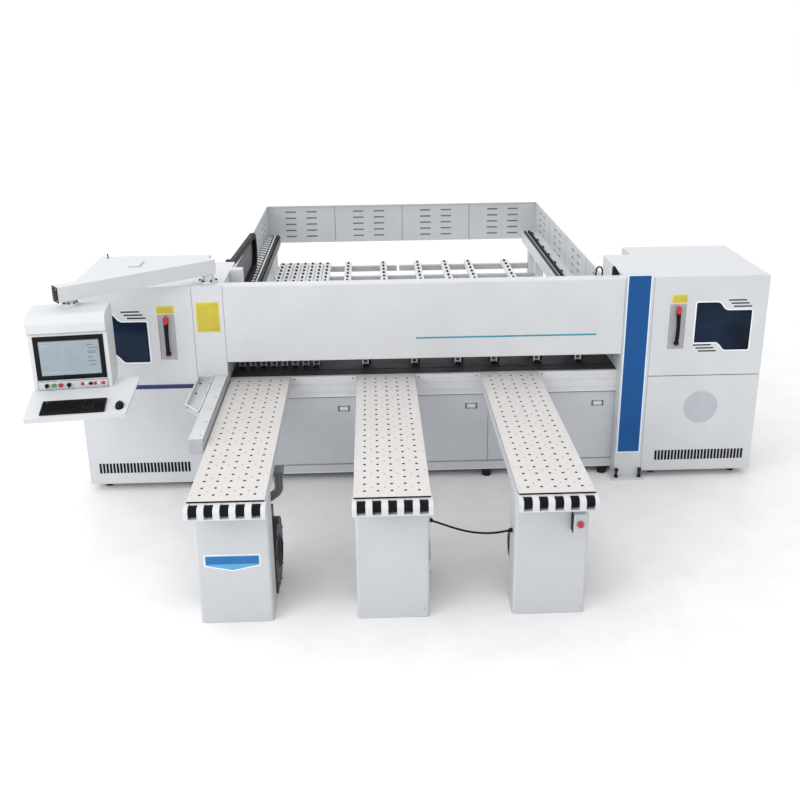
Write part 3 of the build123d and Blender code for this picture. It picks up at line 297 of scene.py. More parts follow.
SHADE_LINE = finish("shadow_line", (0.006, 0.0065, 0.008), (0.55, 0.7), 0, (8, 0.2), specular=0.12)
SLOT_SHADE = finish("slot_shade", (0.13, 0.135, 0.155), (0.55, 0.7), 0, (4, 0.15), (500, 0.05))
SEAM_GREY = finish("seam_grey", (0.25, 0.26, 0.28), (0.5, 0.65), 0, (6, 0.12), (600, 0.05))
RAIL_WHITE = finish("rail_white", (0.68, 0.685, 0.69), (0.32, 0.45), 0, (4, 0.05), (500, 0.03), edge=1)
TUBE_GREY = finish("tube_grey", (0.40, 0.405, 0.415), (0.35, 0.5), 0, (5, 0.06), (500, 0.03), edge=1)
# Painted light: near-white and not metallic, so the jaws and stops show bright in the shade under the beam
LIT_ZINC = finish("lit_zinc_plate", (0.78, 0.79, 0.80), (0.35, 0.5), 0, (7, 0.1), (500, 0.03), edge=1)
PALE_ALUMINIUM = finish(
    "pale_aluminium", (0.60, 0.612, 0.628), (0.34, 0.48), 0.2, (4, 0.05), (600, 0.02), BRUSHED_X, edge=1
)
# Painted shade: the white paint made darker for the pedestals, whose fronts get less light
PEDESTAL_SHADED_PAINT = finish("pedestal_painted_shade", (0.485, 0.50, 0.528), (0.36, 0.5), dust=0.14, edge=2.5)
DISPLAY_BLUE = lit_screen("display_blue", (0.23, 0.275, 0.315), 0.2)
DISPLAY_PALE = lit_screen("display_pale", (0.34, 0.385, 0.42), 0.22)
DISPLAY_DARK = lit_screen("display_dark", (0.05, 0.075, 0.10), 0.15)

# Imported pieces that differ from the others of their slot
NODE_FINISH = {
    "wheel_rails": RAIL_WHITE,
    "cross_tubes": TUBE_GREY,
    "pedestals": PEDESTAL_SHADED_PAINT,
    "stop_box": STRIP_GREY,
    "front_profile": PALE_ALUMINIUM,
    "side_fence": PALE_ALUMINIUM,
}


# Modelling


def take(*pieces):
    """Selects only these pieces; the first is active."""
    bpy.ops.object.select_all(action="DESELECT")
    for piece in pieces:
        piece.select_set(True)
    bpy.context.view_layer.objects.active = pieces[0]


def edit(piece):
    """Opens a piece in edit mode with faces as the picking mode."""
    take(piece)
    bpy.ops.object.mode_set(mode="EDIT")
    bpy.ops.mesh.select_mode(type="FACE")


def done():
    """Back to object mode."""
    bpy.ops.object.mode_set(mode="OBJECT")


def pick(piece, *ways):
    """Selects the faces that look in one of the given ways, such as "-y"."""
    bpy.ops.mesh.select_all(action="DESELECT")
    form = bmesh.from_edit_mesh(piece.data)
    for face in form.faces:
        face.select_set(any(face.normal.dot(AIM[way].col[2].xyz) > SQUARE_ON for way in ways))
    bmesh.update_edit_mesh(piece.data)


def turn_outward():
    """Turns all normals of the piece in edit mode outward, and leaves edit mode."""
    bpy.ops.mesh.select_all(action="SELECT")
    bpy.ops.mesh.normals_make_consistent(inside=False)
    done()


def settle(piece, name):
    """Names a fresh primitive and puts its place into its mesh."""
    piece.name = name
    piece.data.name = name
    take(piece)
    bpy.ops.object.transform_apply(location=True, rotation=True, scale=True)
    return piece


def round_edges(piece, edge, steps, *ways):
    """Rounds all edges of a piece, or only those of the faces that look in the given ways."""
    edit(piece)
    bpy.ops.mesh.select_all(action="SELECT")
    if ways:
        pick(piece, *ways)
    bpy.ops.mesh.bevel(offset=edge * MM, segments=steps, affect="EDGES")
    done()


def narrow_top(piece, scale, centre):
    """Narrows the top face of a piece towards a centre in millimetres."""
    edit(piece)
    pick(piece, "z")
    bpy.ops.transform.resize(value=scale, center_override=[c * MM for c in centre])
    done()


def cut_block(name, low, high, edge=1.5, steps=2):
    """A block between two corners, with its edges rounded."""
    size = [(b - a) * MM for a, b in zip(low, high)]
    middle = [(a + b) / 2 * MM for a, b in zip(low, high)]
    bpy.ops.mesh.primitive_cube_add(size=1.0, location=middle, scale=size)
    piece = settle(bpy.context.object, name)
    if edge:
        round_edges(piece, edge, steps)
    return piece


def turned(name, profile, sides=24, hollow=False):
    """A turned piece standing on +Z: profile lists (radius, height), and hollow joins its two ends inside."""
    radius, height = profile[0]
    bpy.ops.mesh.primitive_circle_add(
        vertices=sides, radius=radius * MM, fill_type="NGON", location=(0, 0, height * MM)
    )
    piece = settle(bpy.context.object, name)
    edit(piece)
    bpy.ops.mesh.select_all(action="SELECT")
    for (r0, h0), (r1, h1) in zip(profile, profile[1:]):
        bpy.ops.mesh.extrude_region_move(TRANSFORM_OT_translate={"value": (0, 0, (h1 - h0) * MM)})
        if r1 != r0:
            scale = r1 / r0
            bpy.ops.transform.resize(value=(scale, scale, 1), center_override=(0, 0, h1 * MM))
    if hollow:
        bpy.ops.mesh.select_all(action="DESELECT")
        form = bmesh.from_edit_mesh(piece.data)
        for face in form.faces:
            face.select_set(len(face.verts) == sides)
        bmesh.update_edit_mesh(piece.data)
        bpy.ops.mesh.bridge_edge_loops()
    turn_outward()
    return piece


def mirrored(half):
    """A turned profile from its upper half, with the same below."""
    return tuple((radius, -height) for radius, height in reversed(half)) + half


def cut_outline(name, corners, depth, soften=0.0):
    """A flat outline in X and Y, its corners rounded, made thick along +Z; the corners run anticlockwise."""
    bpy.ops.mesh.primitive_circle_add(vertices=len(corners), radius=0.1, fill_type="NGON")
    piece = settle(bpy.context.object, name)
    for corner, (x, y) in zip(piece.data.vertices, corners):
        corner.co = (x * MM, y * MM, 0)
    edit(piece)
    bpy.ops.mesh.select_all(action="SELECT")
    if soften:
        bpy.ops.mesh.bevel(offset=soften * MM, segments=4, affect="VERTICES")
        bpy.ops.mesh.select_all(action="SELECT")
    bpy.ops.mesh.extrude_region_move(TRANSFORM_OT_translate={"value": (0, 0, depth * MM)})
    turn_outward()
    return piece


def open_middle(piece, wall):
    """Makes a flat piece a frame: both broad faces are inset and the middle is taken out."""
    edit(piece)
    pick(piece, "z", "-z")
    bpy.ops.mesh.inset(thickness=wall * MM, depth=0)
    bpy.ops.mesh.bridge_edge_loops()
    turn_outward()
    return piece


def dish(piece, wall, depth, *ways):
    """Sinks the faces that look in the given ways, leaving a rim."""
    edit(piece)
    pick(piece, *ways)
    bpy.ops.mesh.inset(thickness=wall * MM, depth=-depth * MM)
    done()
    return piece


def round_off(piece, levels):
    """Rounds a piece with an applied subdivision surface."""
    take(piece)
    rounding = piece.modifiers.new("rounding", "SUBSURF")
    rounding.levels = levels
    rounding.render_levels = levels
    bpy.ops.object.modifier_apply(modifier=rounding.name)


def bent_line(name, radius, route, y, rounds, steps):
    """A round line at one depth, smooth between the (x, z) points of its route."""
    line = bpy.data.curves.new(name, "CURVE")
    line.dimensions = "3D"
    line.bevel_depth = radius * MM
    line.bevel_resolution = rounds
    line.resolution_u = steps
    line.use_fill_caps = True
    run = line.splines.new("NURBS")
    run.points.add(len(route) - 1)
    for point, (x, z) in zip(run.points, route):
        point.co = (x * MM, y * MM, z * MM, 1.0)
    run.order_u = 3
    run.use_endpoint_u = True
    piece = bpy.data.objects.new(name, line)
    bpy.context.scene.collection.objects.link(piece)
    return piece


def facing(at, aim="z"):
    """A place in millimetres, turned from +Z towards aim, as a matrix."""
    return Matrix.Translation([c * MM for c in at]) @ AIM[aim]


def put(piece, at=(0, 0, 0), aim="z", within=None):
    """Moves a piece to its place, turned from +Z towards aim, inside a frame if one is given."""
    move = facing(at, aim)
    piece.data.transform(within @ move if within else move)
    return piece


def copies(name, piece, moves, aim="z"):
    """One piece made of copies of another: each move is a place, turned towards aim, or a matrix."""
    made = []
    for move in moves:
        copy = piece.copy()
        copy.data = piece.data.copy()
        bpy.context.scene.collection.objects.link(copy)
        copy.data.transform(move if isinstance(move, Matrix) else facing(move, aim))
        made.append(copy)
    bpy.data.objects.remove(piece)
    return fuse(name, made)


def fuse(name, pieces):
    """Joins pieces into one object."""
    take(*pieces)
    if len(pieces) > 1:
        bpy.ops.object.join()
    whole = bpy.context.view_layer.objects.active
    whole.name = name
    whole.data.name = name
    return whole


def cut_blocks(name, corners, edge=1.5, steps=2):
    """Several blocks, each between two corners, as one piece."""
    return fuse(name, [cut_block("block", low, high, edge, steps) for low, high in corners])


def mount(piece, slot, made=None, body="frame", smooth=35):
    """Gives a piece its finish and lets it ride on a body."""
    coat(piece, slot, made, smooth)
    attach(piece, body)
    return piece


def coat(piece, slot, made=None, smooth=35):
    """Gives a piece its finish, taken from its slot when none is given, and its smooth shading."""
    piece.data.materials.clear()
    piece.data.materials.append(made or FINISH[slot])
    take(piece)
    bpy.ops.object.shade_smooth_by_angle(angle=radians(smooth))


def fit_block(name, low, high, slot, made=None, edge=1.5, steps=2, body="frame", within=None):
    """A block between two corners, in its place and with its finish."""
    return mount(put(cut_block(name, low, high, edge, steps), within=within), slot, made, body)


def bolt(radius, height):
    """A bolt head with a chamfered crown on a washer."""
    rim = radius * 1.45
    profile = ((rim, 0), (rim, 1.5), (radius, 1.6), (radius, height - 1.2), (radius * 0.8, height))
    return turned("bolt", profile, 12)


def screw(radius):
    """A low screw head with a dished drive."""
    drive = radius * 0.45
    profile = ((radius, 0), (radius, 0.8), (radius * 0.8, 1.4), (drive, 1.4), (radius * 0.35, 0.5))
    return turned("screw", profile, 12)


set_camera()
set_studio()

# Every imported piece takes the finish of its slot, or its own
for name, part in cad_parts.items():
    for i, old in enumerate(part.data.materials):
        part.data.materials[i] = NODE_FINISH.get(name) or FINISH[old.name]


# Cable slung between the middle and the right pedestal, and its glands

CABLE_Y = -2090.0
CABLE_ROUTE = (
    (247, 680), (287, 668), (330, 650), (382, 629), (445, 605), (515, 585),
    (588, 573), (660, 570), (726, 576), (772, 586), (803, 589),
)


def table_cable():
    """The hanging cable as one smooth line, and the glands it goes into."""
    cable = bent_line("slung_cable", 7.0, CABLE_ROUTE, CABLE_Y, 5, 10)
    cable.data.materials.append(FINISH["black_rubber"])
    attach(cable, "frame")
    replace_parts(cable, "table_cable")
    gland = turned("gland", ((17, 0), (17, 7), (14, 8), (14, 13), (15, 14), (15, 19), (12, 22), (10, 26)), 16)
    ends = facing((245.1, CABLE_Y, 680.5), "x"), facing((804.9, CABLE_Y, 589.2), "-x")
    glands = mount(copies("cable_glands", gland, ends), "black_plastic")


table_cable()


# Air tables


def table_trims():
    """Edge strips, dark front edges and screw heads of the three table tops."""
    front, back = TABLE_Y
    top = WORK_H + 0.1
    sides, ends, heads, edges = [], [], [], []
    for x in TABLE_XS:
        for sign in (-1, 1):
            near, far = sorted((x + sign * (TABLE_HALF + 0.1), x + sign * (TABLE_HALF + 2.5)))
            sides.append(((near, front + 1, 963.5), (far, back - 1, 978.5)))
            edges += [(x + sign * 228.0, front + 82.5 + 285.0 * row, top) for row in range(8)]
        ends.append(((x - 244, front - 4, 967), (x + 244, front - 0.4, 979.7)))
        for row in range(11):
            heads += [(x + across, front + 130 + row * 190, top) for across in (-132, -44, 44, 132)]
    mount(cut_blocks("table_side_strips", sides, 0.8), "aluminium")
    mount(cut_blocks("table_end_strips", ends, 0.8), "black_plastic", SHADE_LINE)
    mount(copies("table_screws", screw(5.5), heads), "bright_steel", SEAM_GREY)
    mount(copies("table_edge_screws", screw(4), edges), "bright_steel", SEAM_GREY)


def air_nozzles():
    """Dark cups in the holes of the air tables."""
    cup = turned("cup", ((7.7, 972), (7.7, 980.05), (10.4, 980.1), (10, 980.7), (6, 980.7), (5, 977)), 8)
    spots = [
        (x + (column - 2) * 88.0, -1230.0 + (row - 10.5) * 95.0, 0)
        for x in TABLE_XS
        for column in range(5)
        for row in range(22)
    ]
    mount(copies("air_nozzles", cup, spots), "black_plastic", SHADE_LINE, smooth=40)


def front_rollers():
    """Black grooved rollers in the table ends on their axles, and the lips above them."""
    half = ((36, 5), (34.8, 6), (34.8, 8), (36, 9), (36, 23.5), (34, 25.5), (26.5, 25.5), (25, 21), (9, 21))
    spots = [(x + (i - 2) * 99.0, ROLLER_Y, ROLLER_Z) for x in TABLE_XS for i in range(5)]
    rollers = copies("grooved_rollers", turned("roller", mirrored(half), 28), spots, "x")
    mount(rollers, "black_plastic", FINISH["black_rubber"], "front_rollers")
    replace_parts(rollers, "front_rollers")
    axle = turned("axle", mirrored(((8, 246), (6, 248))), 16)
    axles = copies("roller_axles", axle, [(x, ROLLER_Y, ROLLER_Z) for x in TABLE_XS], "x")
    mount(axles, "bright_steel", body="front_rollers")
    lips = [((x - 253, -2330, 958), (x + 253, -2314.2, 966)) for x in TABLE_XS]
    mount(cut_blocks("roller_lips", lips, 2), "white_paint")


def pedestal_fittings():
    """Blank blue shield on the left pedestal, screw heads on all three."""
    for name, grow, thick, made in (("shield_rim", 7, 1.2, PALE_RIM), ("pedestal_shield", 0, 2.0, SKY_FILM)):
        left, right, low, high = -1235 - grow, -878 + grow, 441 - grow, 512 + grow
        outline = ((left, low), (-1056, 403 - grow), (right, low), (right, high), (left, high))
        shield = put(cut_outline(name, outline, thick, 4), (0, PEDESTAL_FRONT - 0.1, 0), "-y")
        mount(shield, "blue_film", made)
    low, high = (-1229, PEDESTAL_FRONT - 3, 450), (-884, PEDESTAL_FRONT - 2.2, 506)
    fit_block("shield_band", low, high, "blue_film", SHIELD_FILM, 0.3, 1)
    spots = [(x + dx, PEDESTAL_FRONT, z) for x in TABLE_XS for dx in (-215, 215) for z in (60, 800)]
    mount(copies("pedestal_screws", screw(8), spots, "-y"), "bright_steel")


def stop_station():
    """Mushroom stop on the right pedestal's box, its collar, a painted shadow along the box's left side, and
    lid screws.
    """
    centre = (1221, STOP_FACE, 714)
    crown = (
        (11.5, -16), (11.5, 10), (16, 11), (20, 12.5), (21, 15),
        (21, 18.5), (19.8, 22), (17, 24.2), (12, 25.5), (6, 26),
    )
    mushroom = put(turned("mushroom_stop", crown, 32), centre, "-y")
    mount(mushroom, "red_plastic", body="emergency_stop")
    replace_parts(mushroom, "emergency_stop")
    collar = turned("stop_collar", ((14, 0.1), (25, 0.1), (25, 1.6), (24, 2.2), (14, 2.2)), 32, True)
    mount(put(collar, centre, "-y"), "black_plastic", SEAM_GREY)
    # Painted shadow: a black strip along the left side of the box
    low, high = (1173.5, STOP_FACE + 2, 648), (1177.7, PEDESTAL_FRONT - 0.5, 780)
    fit_block("stop_box_side_shadow", low, high, "black_plastic", edge=1)
    heads = [(x, STOP_FACE - 0.1, z) for x in (1189, 1253) for z in (656, 772)]
    mount(copies("stop_lid_screws", screw(3.5), heads, "-y"), "bright_steel")


table_trims()
air_nozzles()
front_rollers()
pedestal_fittings()
stop_station()


# Doors, windows and handles


def window_corners(right, grow):
    """Corners of the stepped window, anticlockwise seen from the front."""
    left, step = right - 474.0, right - 218.0
    return (
        (left - grow, 1238 - grow), (step - 58, 1238 - grow),
        (step, 1168 - grow), (right + grow, 1168 - grow),
        (right + grow, 1522 + grow), (step, 1522 + grow),
        (step - 58, 1593 + grow), (left - grow, 1593 + grow),
    )


def door_fittings(side):
    """Window rim, louvre shadows and handle recess of one door, and its lever."""
    door, handle = side + "_door", side + "_handle"
    right, px = WINDOW_RIGHT[side], RECESS_X[side]
    rim = open_middle(cut_outline(side + "_window_rim", window_corners(right, 8), 2.4, 22), 11)
    mount(put(rim, (0, FRONT_Y - 0.1, 0), "-y"), "aluminium", PALE_RIM, door)
    lines = []
    for i in range(3):
        drop, shift = 27.0 * i, 24.0 * i
        for start, z in ((right - 208 + shift, 1601 - drop), (right - 474 + shift, 1214 - drop)):
            lines.append(((start - 0.6, FRONT_Y - 0.6, z - 1), (start + 150.6, FRONT_Y + 1.2, z + 10.5)))
    mount(cut_blocks(side + "_louvre_shadows", lines, 0.4, 1), "black_plastic", SHADE_LINE, door)
    low, high = (px - 66, FRONT_Y + 6.2, 1191.5), (px + 66, FRONT_Y + 7.8, 1575.5)
    fit_block(side + "_handle_recess", low, high, "shade_paint", RECESS_GREY, 0.5, 1, door)
    lever = cut_block(side + "_lever", (px - 23, FRONT_Y - 27, 1515), (px + 23, FRONT_Y - 9, 1541), 0)
    edit(lever)
    pick(lever, "-z")
    for drop, out, width in ((40, -9, 0.86), (50, -7, 0.92), (60, -2, 1.0), (60, 3, 1.0), (52, 7, 1.12)):
        bpy.ops.mesh.extrude_region_move(TRANSFORM_OT_translate={"value": (0, out * MM, -drop * MM)})
        form = bmesh.from_edit_mesh(lever.data)
        centre = sum((v.co for v in form.verts if v.select), Vector()) / 4
        bpy.ops.transform.resize(value=(width, 1, 1), center_override=centre)
    done()
    round_off(lever, 2)
    mount(lever, "black_plastic", body=handle)
    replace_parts(lever, handle)
    boss = turned(side + "_lever_boss", ((20, -6), (23, 0), (23, 12), (21, 16), (14, 18.5), (5, 19)), 24)
    boss.data.transform(Matrix.Diagonal((0.95, 1.55, 1, 1)))
    mount(put(boss, (px, FRONT_Y - 14, 1531), "-y"), "red_plastic", body=handle)
    stem = turned(side + "_lever_stem", ((15, 0), (15, 22), (13, 24)), 20)
    mount(put(stem, (px, FRONT_Y + 7.5, 1528), "-y"), "black_plastic", body=handle)
    low, high = (px - 20, FRONT_Y - 32, 1232), (px + 20, FRONT_Y - 8, 1262)
    fit_block(side + "_lever_foot", low, high, "black_plastic", None, 7, 3, handle)
    low, high = (px - 16, FRONT_Y - 30, 1222), (px + 16, FRONT_Y - 10, 1236)
    fit_block(side + "_lever_tip", low, high, "red_plastic", None, 5, 3, handle)


def blank_plate(name, x, z, body, proud=2.0):
    """A blank yellow plate on a front face, with a pale rim."""
    (x0, x1), (z0, z1), front, back, rim = x, z, FRONT_Y - proud, FRONT_Y - 0.1, 9
    fit_block(name, (x0, front, z0), (x1, back, z1), "red_plastic", YELLOW_PLATE, 0.7, body=body)
    low, high = (x0 - rim, front + 1, z0 - rim), (x1 + rim, back, z1 + rim)
    fit_block(name + "_rim", low, high, "red_plastic", YELLOW_RIM, 0.4, body=body)


for side in ("left", "right"):
    door_fittings(side)
blank_plate("post_plate", (-1530, -1354), (1428, 1670), "frame")
blank_plate("left_door_plate", (-1851, -1720), (1590, 1645), "left_door", 1.6)
blank_plate("right_door_plate", (2377, 2494), (1596, 1655), "right_door", 1.6)


# Front of the posts, the beam and the cabinets


def front_films():
    """Banner border, teal line on the beam, dark stripe and round blank badge."""
    x0, x1, z0, z1, wide = 1989.2, 2194.8, 242.2, 1839.8, 11
    bars = [
        ((x, FRONT_Y - 4.6, z), (right, FRONT_Y - 3.5, top))
        for x, z, right, top in (
            (x0, z0, x0 + wide, z1),
            (x1 - wide, z0, x1, z1),
            (x0 + wide, z0, x1 - wide, z0 + wide),
            (x0 + wide, z1 - wide, x1 - wide, z1),
        )
    ]
    mount(cut_blocks("banner_border", bars, 0.3, 1), "blue_film", BANNER_RIM)
    back = FRONT_Y - 0.1
    fit_block("beam_line", (255, FRONT_Y - 1.4, 1326), (1756, back, 1340), "blue_film", TEAL_FILM, 0.4, 1)
    stripes = ("cabinet_stripe", 932, 945.6, "frame"), ("door_stripe", 950.6, 970, "left_door")
    for name, z, top, body in stripes:
        low, high = (-2546, FRONT_Y - 1.2, z), (-1569, back, top)
        fit_block(name, low, high, "blue_film", NAVY_FILM, 0.4, 1, body)
    badge = turned("cabinet_badge", ((145, 0.1), (145, 2.2), (143, 3), (128, 3), (127, 2.2), (4, 2.2)), 64)
    mount(put(badge, (2692, FRONT_Y, 658), "-y"), "white_paint", BADGE_GREY)


def vent_shades():
    """Dark plates behind the vents of both cabinets, painted shade of their insides, and a black edging round
    each vent.
    """
    edging = open_middle(cut_outline("edging", ((-9.5, -46), (9.5, -46), (9.5, 46), (-9.5, 46)), 1.2, 3), 3.2)
    spots = [(start + 29.0 * i, FRONT_Y - 0.1, 210) for start in VENT_START for i in range(27)]
    mount(copies("vent_edging", edging, spots, "-y"), "black_rubber")
    # Painted shade: a dark plate behind each row of vents stands for the dark inside of the cabinet
    for side, left, right in (("left", -2541, -1645), ("right", 2305, 3163)):
        low, high = (left, FRONT_Y + 4.2, 150), (right, FRONT_Y + 12, 270)
        fit_block(side + "_vent_shade", low, high, "black_rubber", SHADE_LINE, 1.0)


front_films()
vent_shades()


# Console

DISPLAY_BARS = (
    (-214, 1634, 428), (126, 1596, 40), (136, 1570, 66), (128, 1545, 62),
    (134, 1535, 50), (128, 1500, 36), (128, 1470, 58), (140, 1440, 40),
)


def console_fittings():
    """Monitor with its display, button strip, collars and lamps."""
    on_console = {"body": "console", "within": CONSOLE}
    bezel = cut_block("monitor_bezel", (-249.5, -239, 1335.5), (249.5, -221.5, 1674.5), 3, 3)
    edit(bezel)
    pick(bezel, "-y")
    bpy.ops.mesh.inset(thickness=30 * MM, depth=0)
    bpy.ops.mesh.inset(thickness=3 * MM, depth=-4 * MM)
    done()
    mount(put(bezel, within=CONSOLE), "black_plastic", body="console")
    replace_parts(bezel, "monitor")
    low, high = (-216, -235.2, 1369), (216, -234.2, 1641)
    fit_block("display_glass", low, high, "screen", DISPLAY_BLUE, 0.3, 1, **on_console)
    lines = [(-208, z, 204, z + 2.5) for z in (1385, 1396, 1622)]
    lines += [(-196, 1600, -150, 1604), (-60, 1600, -20, 1604), (112, 1404, 114, 1612)]
    bars = [(x, z, x + wide, z + 4) for x, z, wide in DISPLAY_BARS]
    for name, spots, made in (("display_lines", lines, DISPLAY_PALE), ("display_bars", bars, DISPLAY_DARK)):
        tiles = [((x, -236.0, z), (right, -235.1, top)) for x, z, right, top in spots]
        mount(put(cut_blocks(name, tiles, 0.2, 1), within=CONSOLE), "screen", made, "console")

    low, high = (-252, -236.4, 1260), (252, -235.1, 1327)
    fit_block("button_strip_edge", low, high, "black_plastic", SHADE_LINE, 0.5, 1, **on_console)
    low, high = (-249, -237.2, 1263), (249, -235.2, 1324)
    fit_block("button_strip", low, high, "shade_paint", STRIP_GREY, 0.6, **on_console)
    collar = turned("collar", ((15.5, 0), (20, 0), (20, 2.5), (18.5, 4), (15.5, 4)), 28, True)
    spots = [(x, -237.2, 1295) for x in (-188, -139, -90, -30)]
    mount(put(copies("button_collars", collar, spots, "-y"), within=CONSOLE), "bright_steel", body="console")
    lens = ((11, 0), (13, 1), (13, 4), (11, 7), (6, 9.5), (2, 10))
    for name, x, slot, made in (
        ("lamp_red_1", 66, "red_plastic", None),
        ("lamp_white_1", 96, "white_paint", LAMP_WHITE),
        ("lamp_dark_1", 126, "black_plastic", None),
        ("lamp_red_2", 156, "red_plastic", None),
        ("lamp_white_2", 186, "white_paint", LAMP_WHITE),
        ("lamp_red_3", 216, "red_plastic", None),
    ):
        mount(put(turned(name, lens, 24), (x, -237.2, 1295), "-y", CONSOLE), slot, made, "console")


# Key widths in units, from the front row to the back one; a minus sign leaves a gap
KEY_UNIT = 19.0
KEY_ROWS = (
    (1.5, 1.25, 1.25, 6.0, 1.25, 1.25, 1.25, 1.25),
    (2.25,) + (1,) * 10 + (2.75,),
    (1.75,) + (1,) * 11 + (2.25,),
    (1.5,) + (1,) * 12 + (1.5,),
    (1,) * 13 + (2,),
    (1, -1, 1, 1, 1, 1, -0.5, 1, 1, 1, 1, -0.5, 1, 1, 1, 1),
)


def key_places(widths, start, y):
    """Places of one row of keys, each stretched to its width."""
    places = []
    x = start
    for width in widths:
        if width > 0:
            stretch = Matrix.Diagonal(((width * KEY_UNIT - 2.2) / 16.8, 1, 1, 1))
            places.append(facing((x + width * KEY_UNIT / 2, y, 14.6)) @ stretch)
        x += abs(width) * KEY_UNIT
    return places


def console_keyboard():
    """Keyboard with tapered keys and a mouse, on the shelf."""
    base = fit_block(
        "keyboard_base", (-193, 35, 0.4), (258, 200, 15), "black_plastic", None, 3, 2, "console", SHELF
    )
    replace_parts(base, "keyboard")
    key = cut_block("key", (-8.4, -8.4, 0), (8.4, 8.4, 7), 0)
    narrow_top(key, (0.8, 0.8, 1), (0, 0, 7))
    round_edges(key, 0.7, 1)
    moves = []
    for i, widths in enumerate(KEY_ROWS):
        y = 52 + i * 23.5
        moves += key_places(widths, -187, y)
        if i in (0, 3, 4, 5):
            moves += key_places((1, 1, 1), 108, y)
        if i == 1:
            moves += key_places((-1, 1), 108, y)
        if i < 5:
            moves += key_places((2, 1, 1) if i == 0 else (1, 1, 1, 1), 175, y)
    keys = put(copies("keyboard_keys", key, moves), within=SHELF)
    mount(keys, "black_plastic", FINISH["black_rubber"], "console", 20)
    mouse = cut_block("mouse_shell", (322, 44, 0.4), (392, 154, 36), 0)
    narrow_top(mouse, (0.72, 0.68, 1), (357, 92, 36))
    edit(mouse)
    pick(mouse, "-z")
    bpy.ops.transform.edge_crease(value=0.9)
    done()
    round_off(mouse, 3)
    mount(put(mouse, within=SHELF), "black_plastic", None, "console", 60)
    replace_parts(mouse, "mouse")
    wheel = turned("mouse_wheel", mirrored(((9, 3), (7, 4))), 20)
    mount(put(wheel, (357, 122, 23), "x", SHELF), "black_rubber", body="console")


def arm_fittings():
    """Black end plate and screws of the arm, bearing flanges and bolts at both swivels."""
    end = ARM_SPAN.length + 100
    low, high = (end + 0.1, -53, 1879), (end + 6, 53, 2001)
    fit_block("arm_end_plate", low, high, "black_plastic", edge=2.5, body="console_arm", within=ARM)
    spots = [(end + 6, y, z) for y in (-38, 38) for z in (1894, 1986)]
    mount(put(copies("arm_end_screws", screw(6), spots, "x"), within=ARM), "bright_steel", body="console_arm")
    flange = turned("pivot_flange", ((78, 1812.5), (78, 1822), (74, 1826), (62, 1826)), 40)
    mount(put(flange, within=ARM), "aluminium", PALE_ALUMINIUM)
    spots = [(66 * cos(a * pi / 3) - 1440, 66 * sin(a * pi / 3) - 100, 1826) for a in range(6)]
    mount(copies("pivot_bolts", bolt(8, 12), spots), "black_steel")
    bearing = turned("swivel_bearing", ((60, 1847), (60, 1858), (48, 1862), (40, 1870), (34, 1880)), 36)
    mount(put(bearing, within=CONSOLE), "aluminium", PALE_ALUMINIUM, "console")
    ring = [(52 * cos(a * pi / 4), 52 * sin(a * pi / 4), 1860) for a in range(8)]
    mount(put(copies("swivel_bolts", bolt(6, 9), ring), within=CONSOLE), "black_steel", body="console")


console_fittings()
console_keyboard()
arm_fittings()


# Bed front, side fence and blowers


def panel_grips():
    """Grip bars between dark end blocks in the pockets of the access panels, screws and hinge knuckles."""
    for number, (left, right) in enumerate(zip(PANEL_EDGES, PANEL_EDGES[1:]), 1):
        body = f"access_panel_{number}"
        x = right - 147.0
        ends = [((at - 6, PANEL_FACE - 0.5, 646), (at + 6, -116.5, 694)) for at in (x - 44, x + 44)]
        mount(cut_blocks(f"grip_ends_{number}", ends), "black_plastic", SLOT_SHADE, body)
        bar = cut_block(f"grip_bar_{number}", (x - 37.5, PANEL_FACE + 0.5, 655), (x + 37.5, -118, 685), 3)
        mount(dish(bar, 5, 2, "-y"), "aluminium", RAIL_WHITE, body)
        across = (left + 40, (left + right) / 2, right - 40)
        spots = [(at, PANEL_FACE - 0.1, z) for at in across for z in (160, 750)]
        mount(copies(f"panel_screws_{number}", screw(6), spots, "-y"), "bright_steel", body=body)
        barrel = ((4, -30), (5, -29), (5, -10), (4.4, -9.5), (4.4, -9), (5, -8.5), (5, 29), (4, 30))
        spots = [(left + 2, PANEL_FACE, z) for z in (210, 700)]
        mount(copies(f"panel_hinges_{number}", turned("knuckle", barrel, 12), spots), "bright_steel")


def front_strip():
    """Slot covers, lips, ridge and bolts of the bed's front strip, and the shaded gap over the lower rail."""
    covers = [((-1308, -149.5, z - 4.2), (1973, -147, z + 4.2)) for z in (835, 905)]
    mount(cut_blocks("slot_covers", covers, 0.8, 1), "aluminium", PALE_ALUMINIUM)
    back = STRIP_FACE - 0.1
    fit_block("strip_lip", (-1309, -152.2, 790.5), (1974, back, 803), "aluminium", RAIL_WHITE, 0.8)
    fit_block("strip_ridge", (-1309, -151.4, 936), (1974, back, 941), "aluminium", PALE_ALUMINIUM, 0.5, 1)
    low, high = (-1306, -126, 142.6), (1971, -112, 153.2)
    fit_block("panel_gap_shade", low, high, "black_plastic", SEAM_GREY, 0.6, 1)
    low, high = (-1308, PANEL_FACE - 3, 67), (1973, PANEL_FACE - 0.1, 77)
    fit_block("rail_foot_lip", low, high, "aluminium", RAIL_WHITE, 1)
    spots = [(x + side * 279, back, 958) for x in TABLE_XS for side in (-1, 1)]
    mount(copies("strip_bolts", bolt(6, 7), spots, "-y"), "bright_steel", SEAM_GREY)


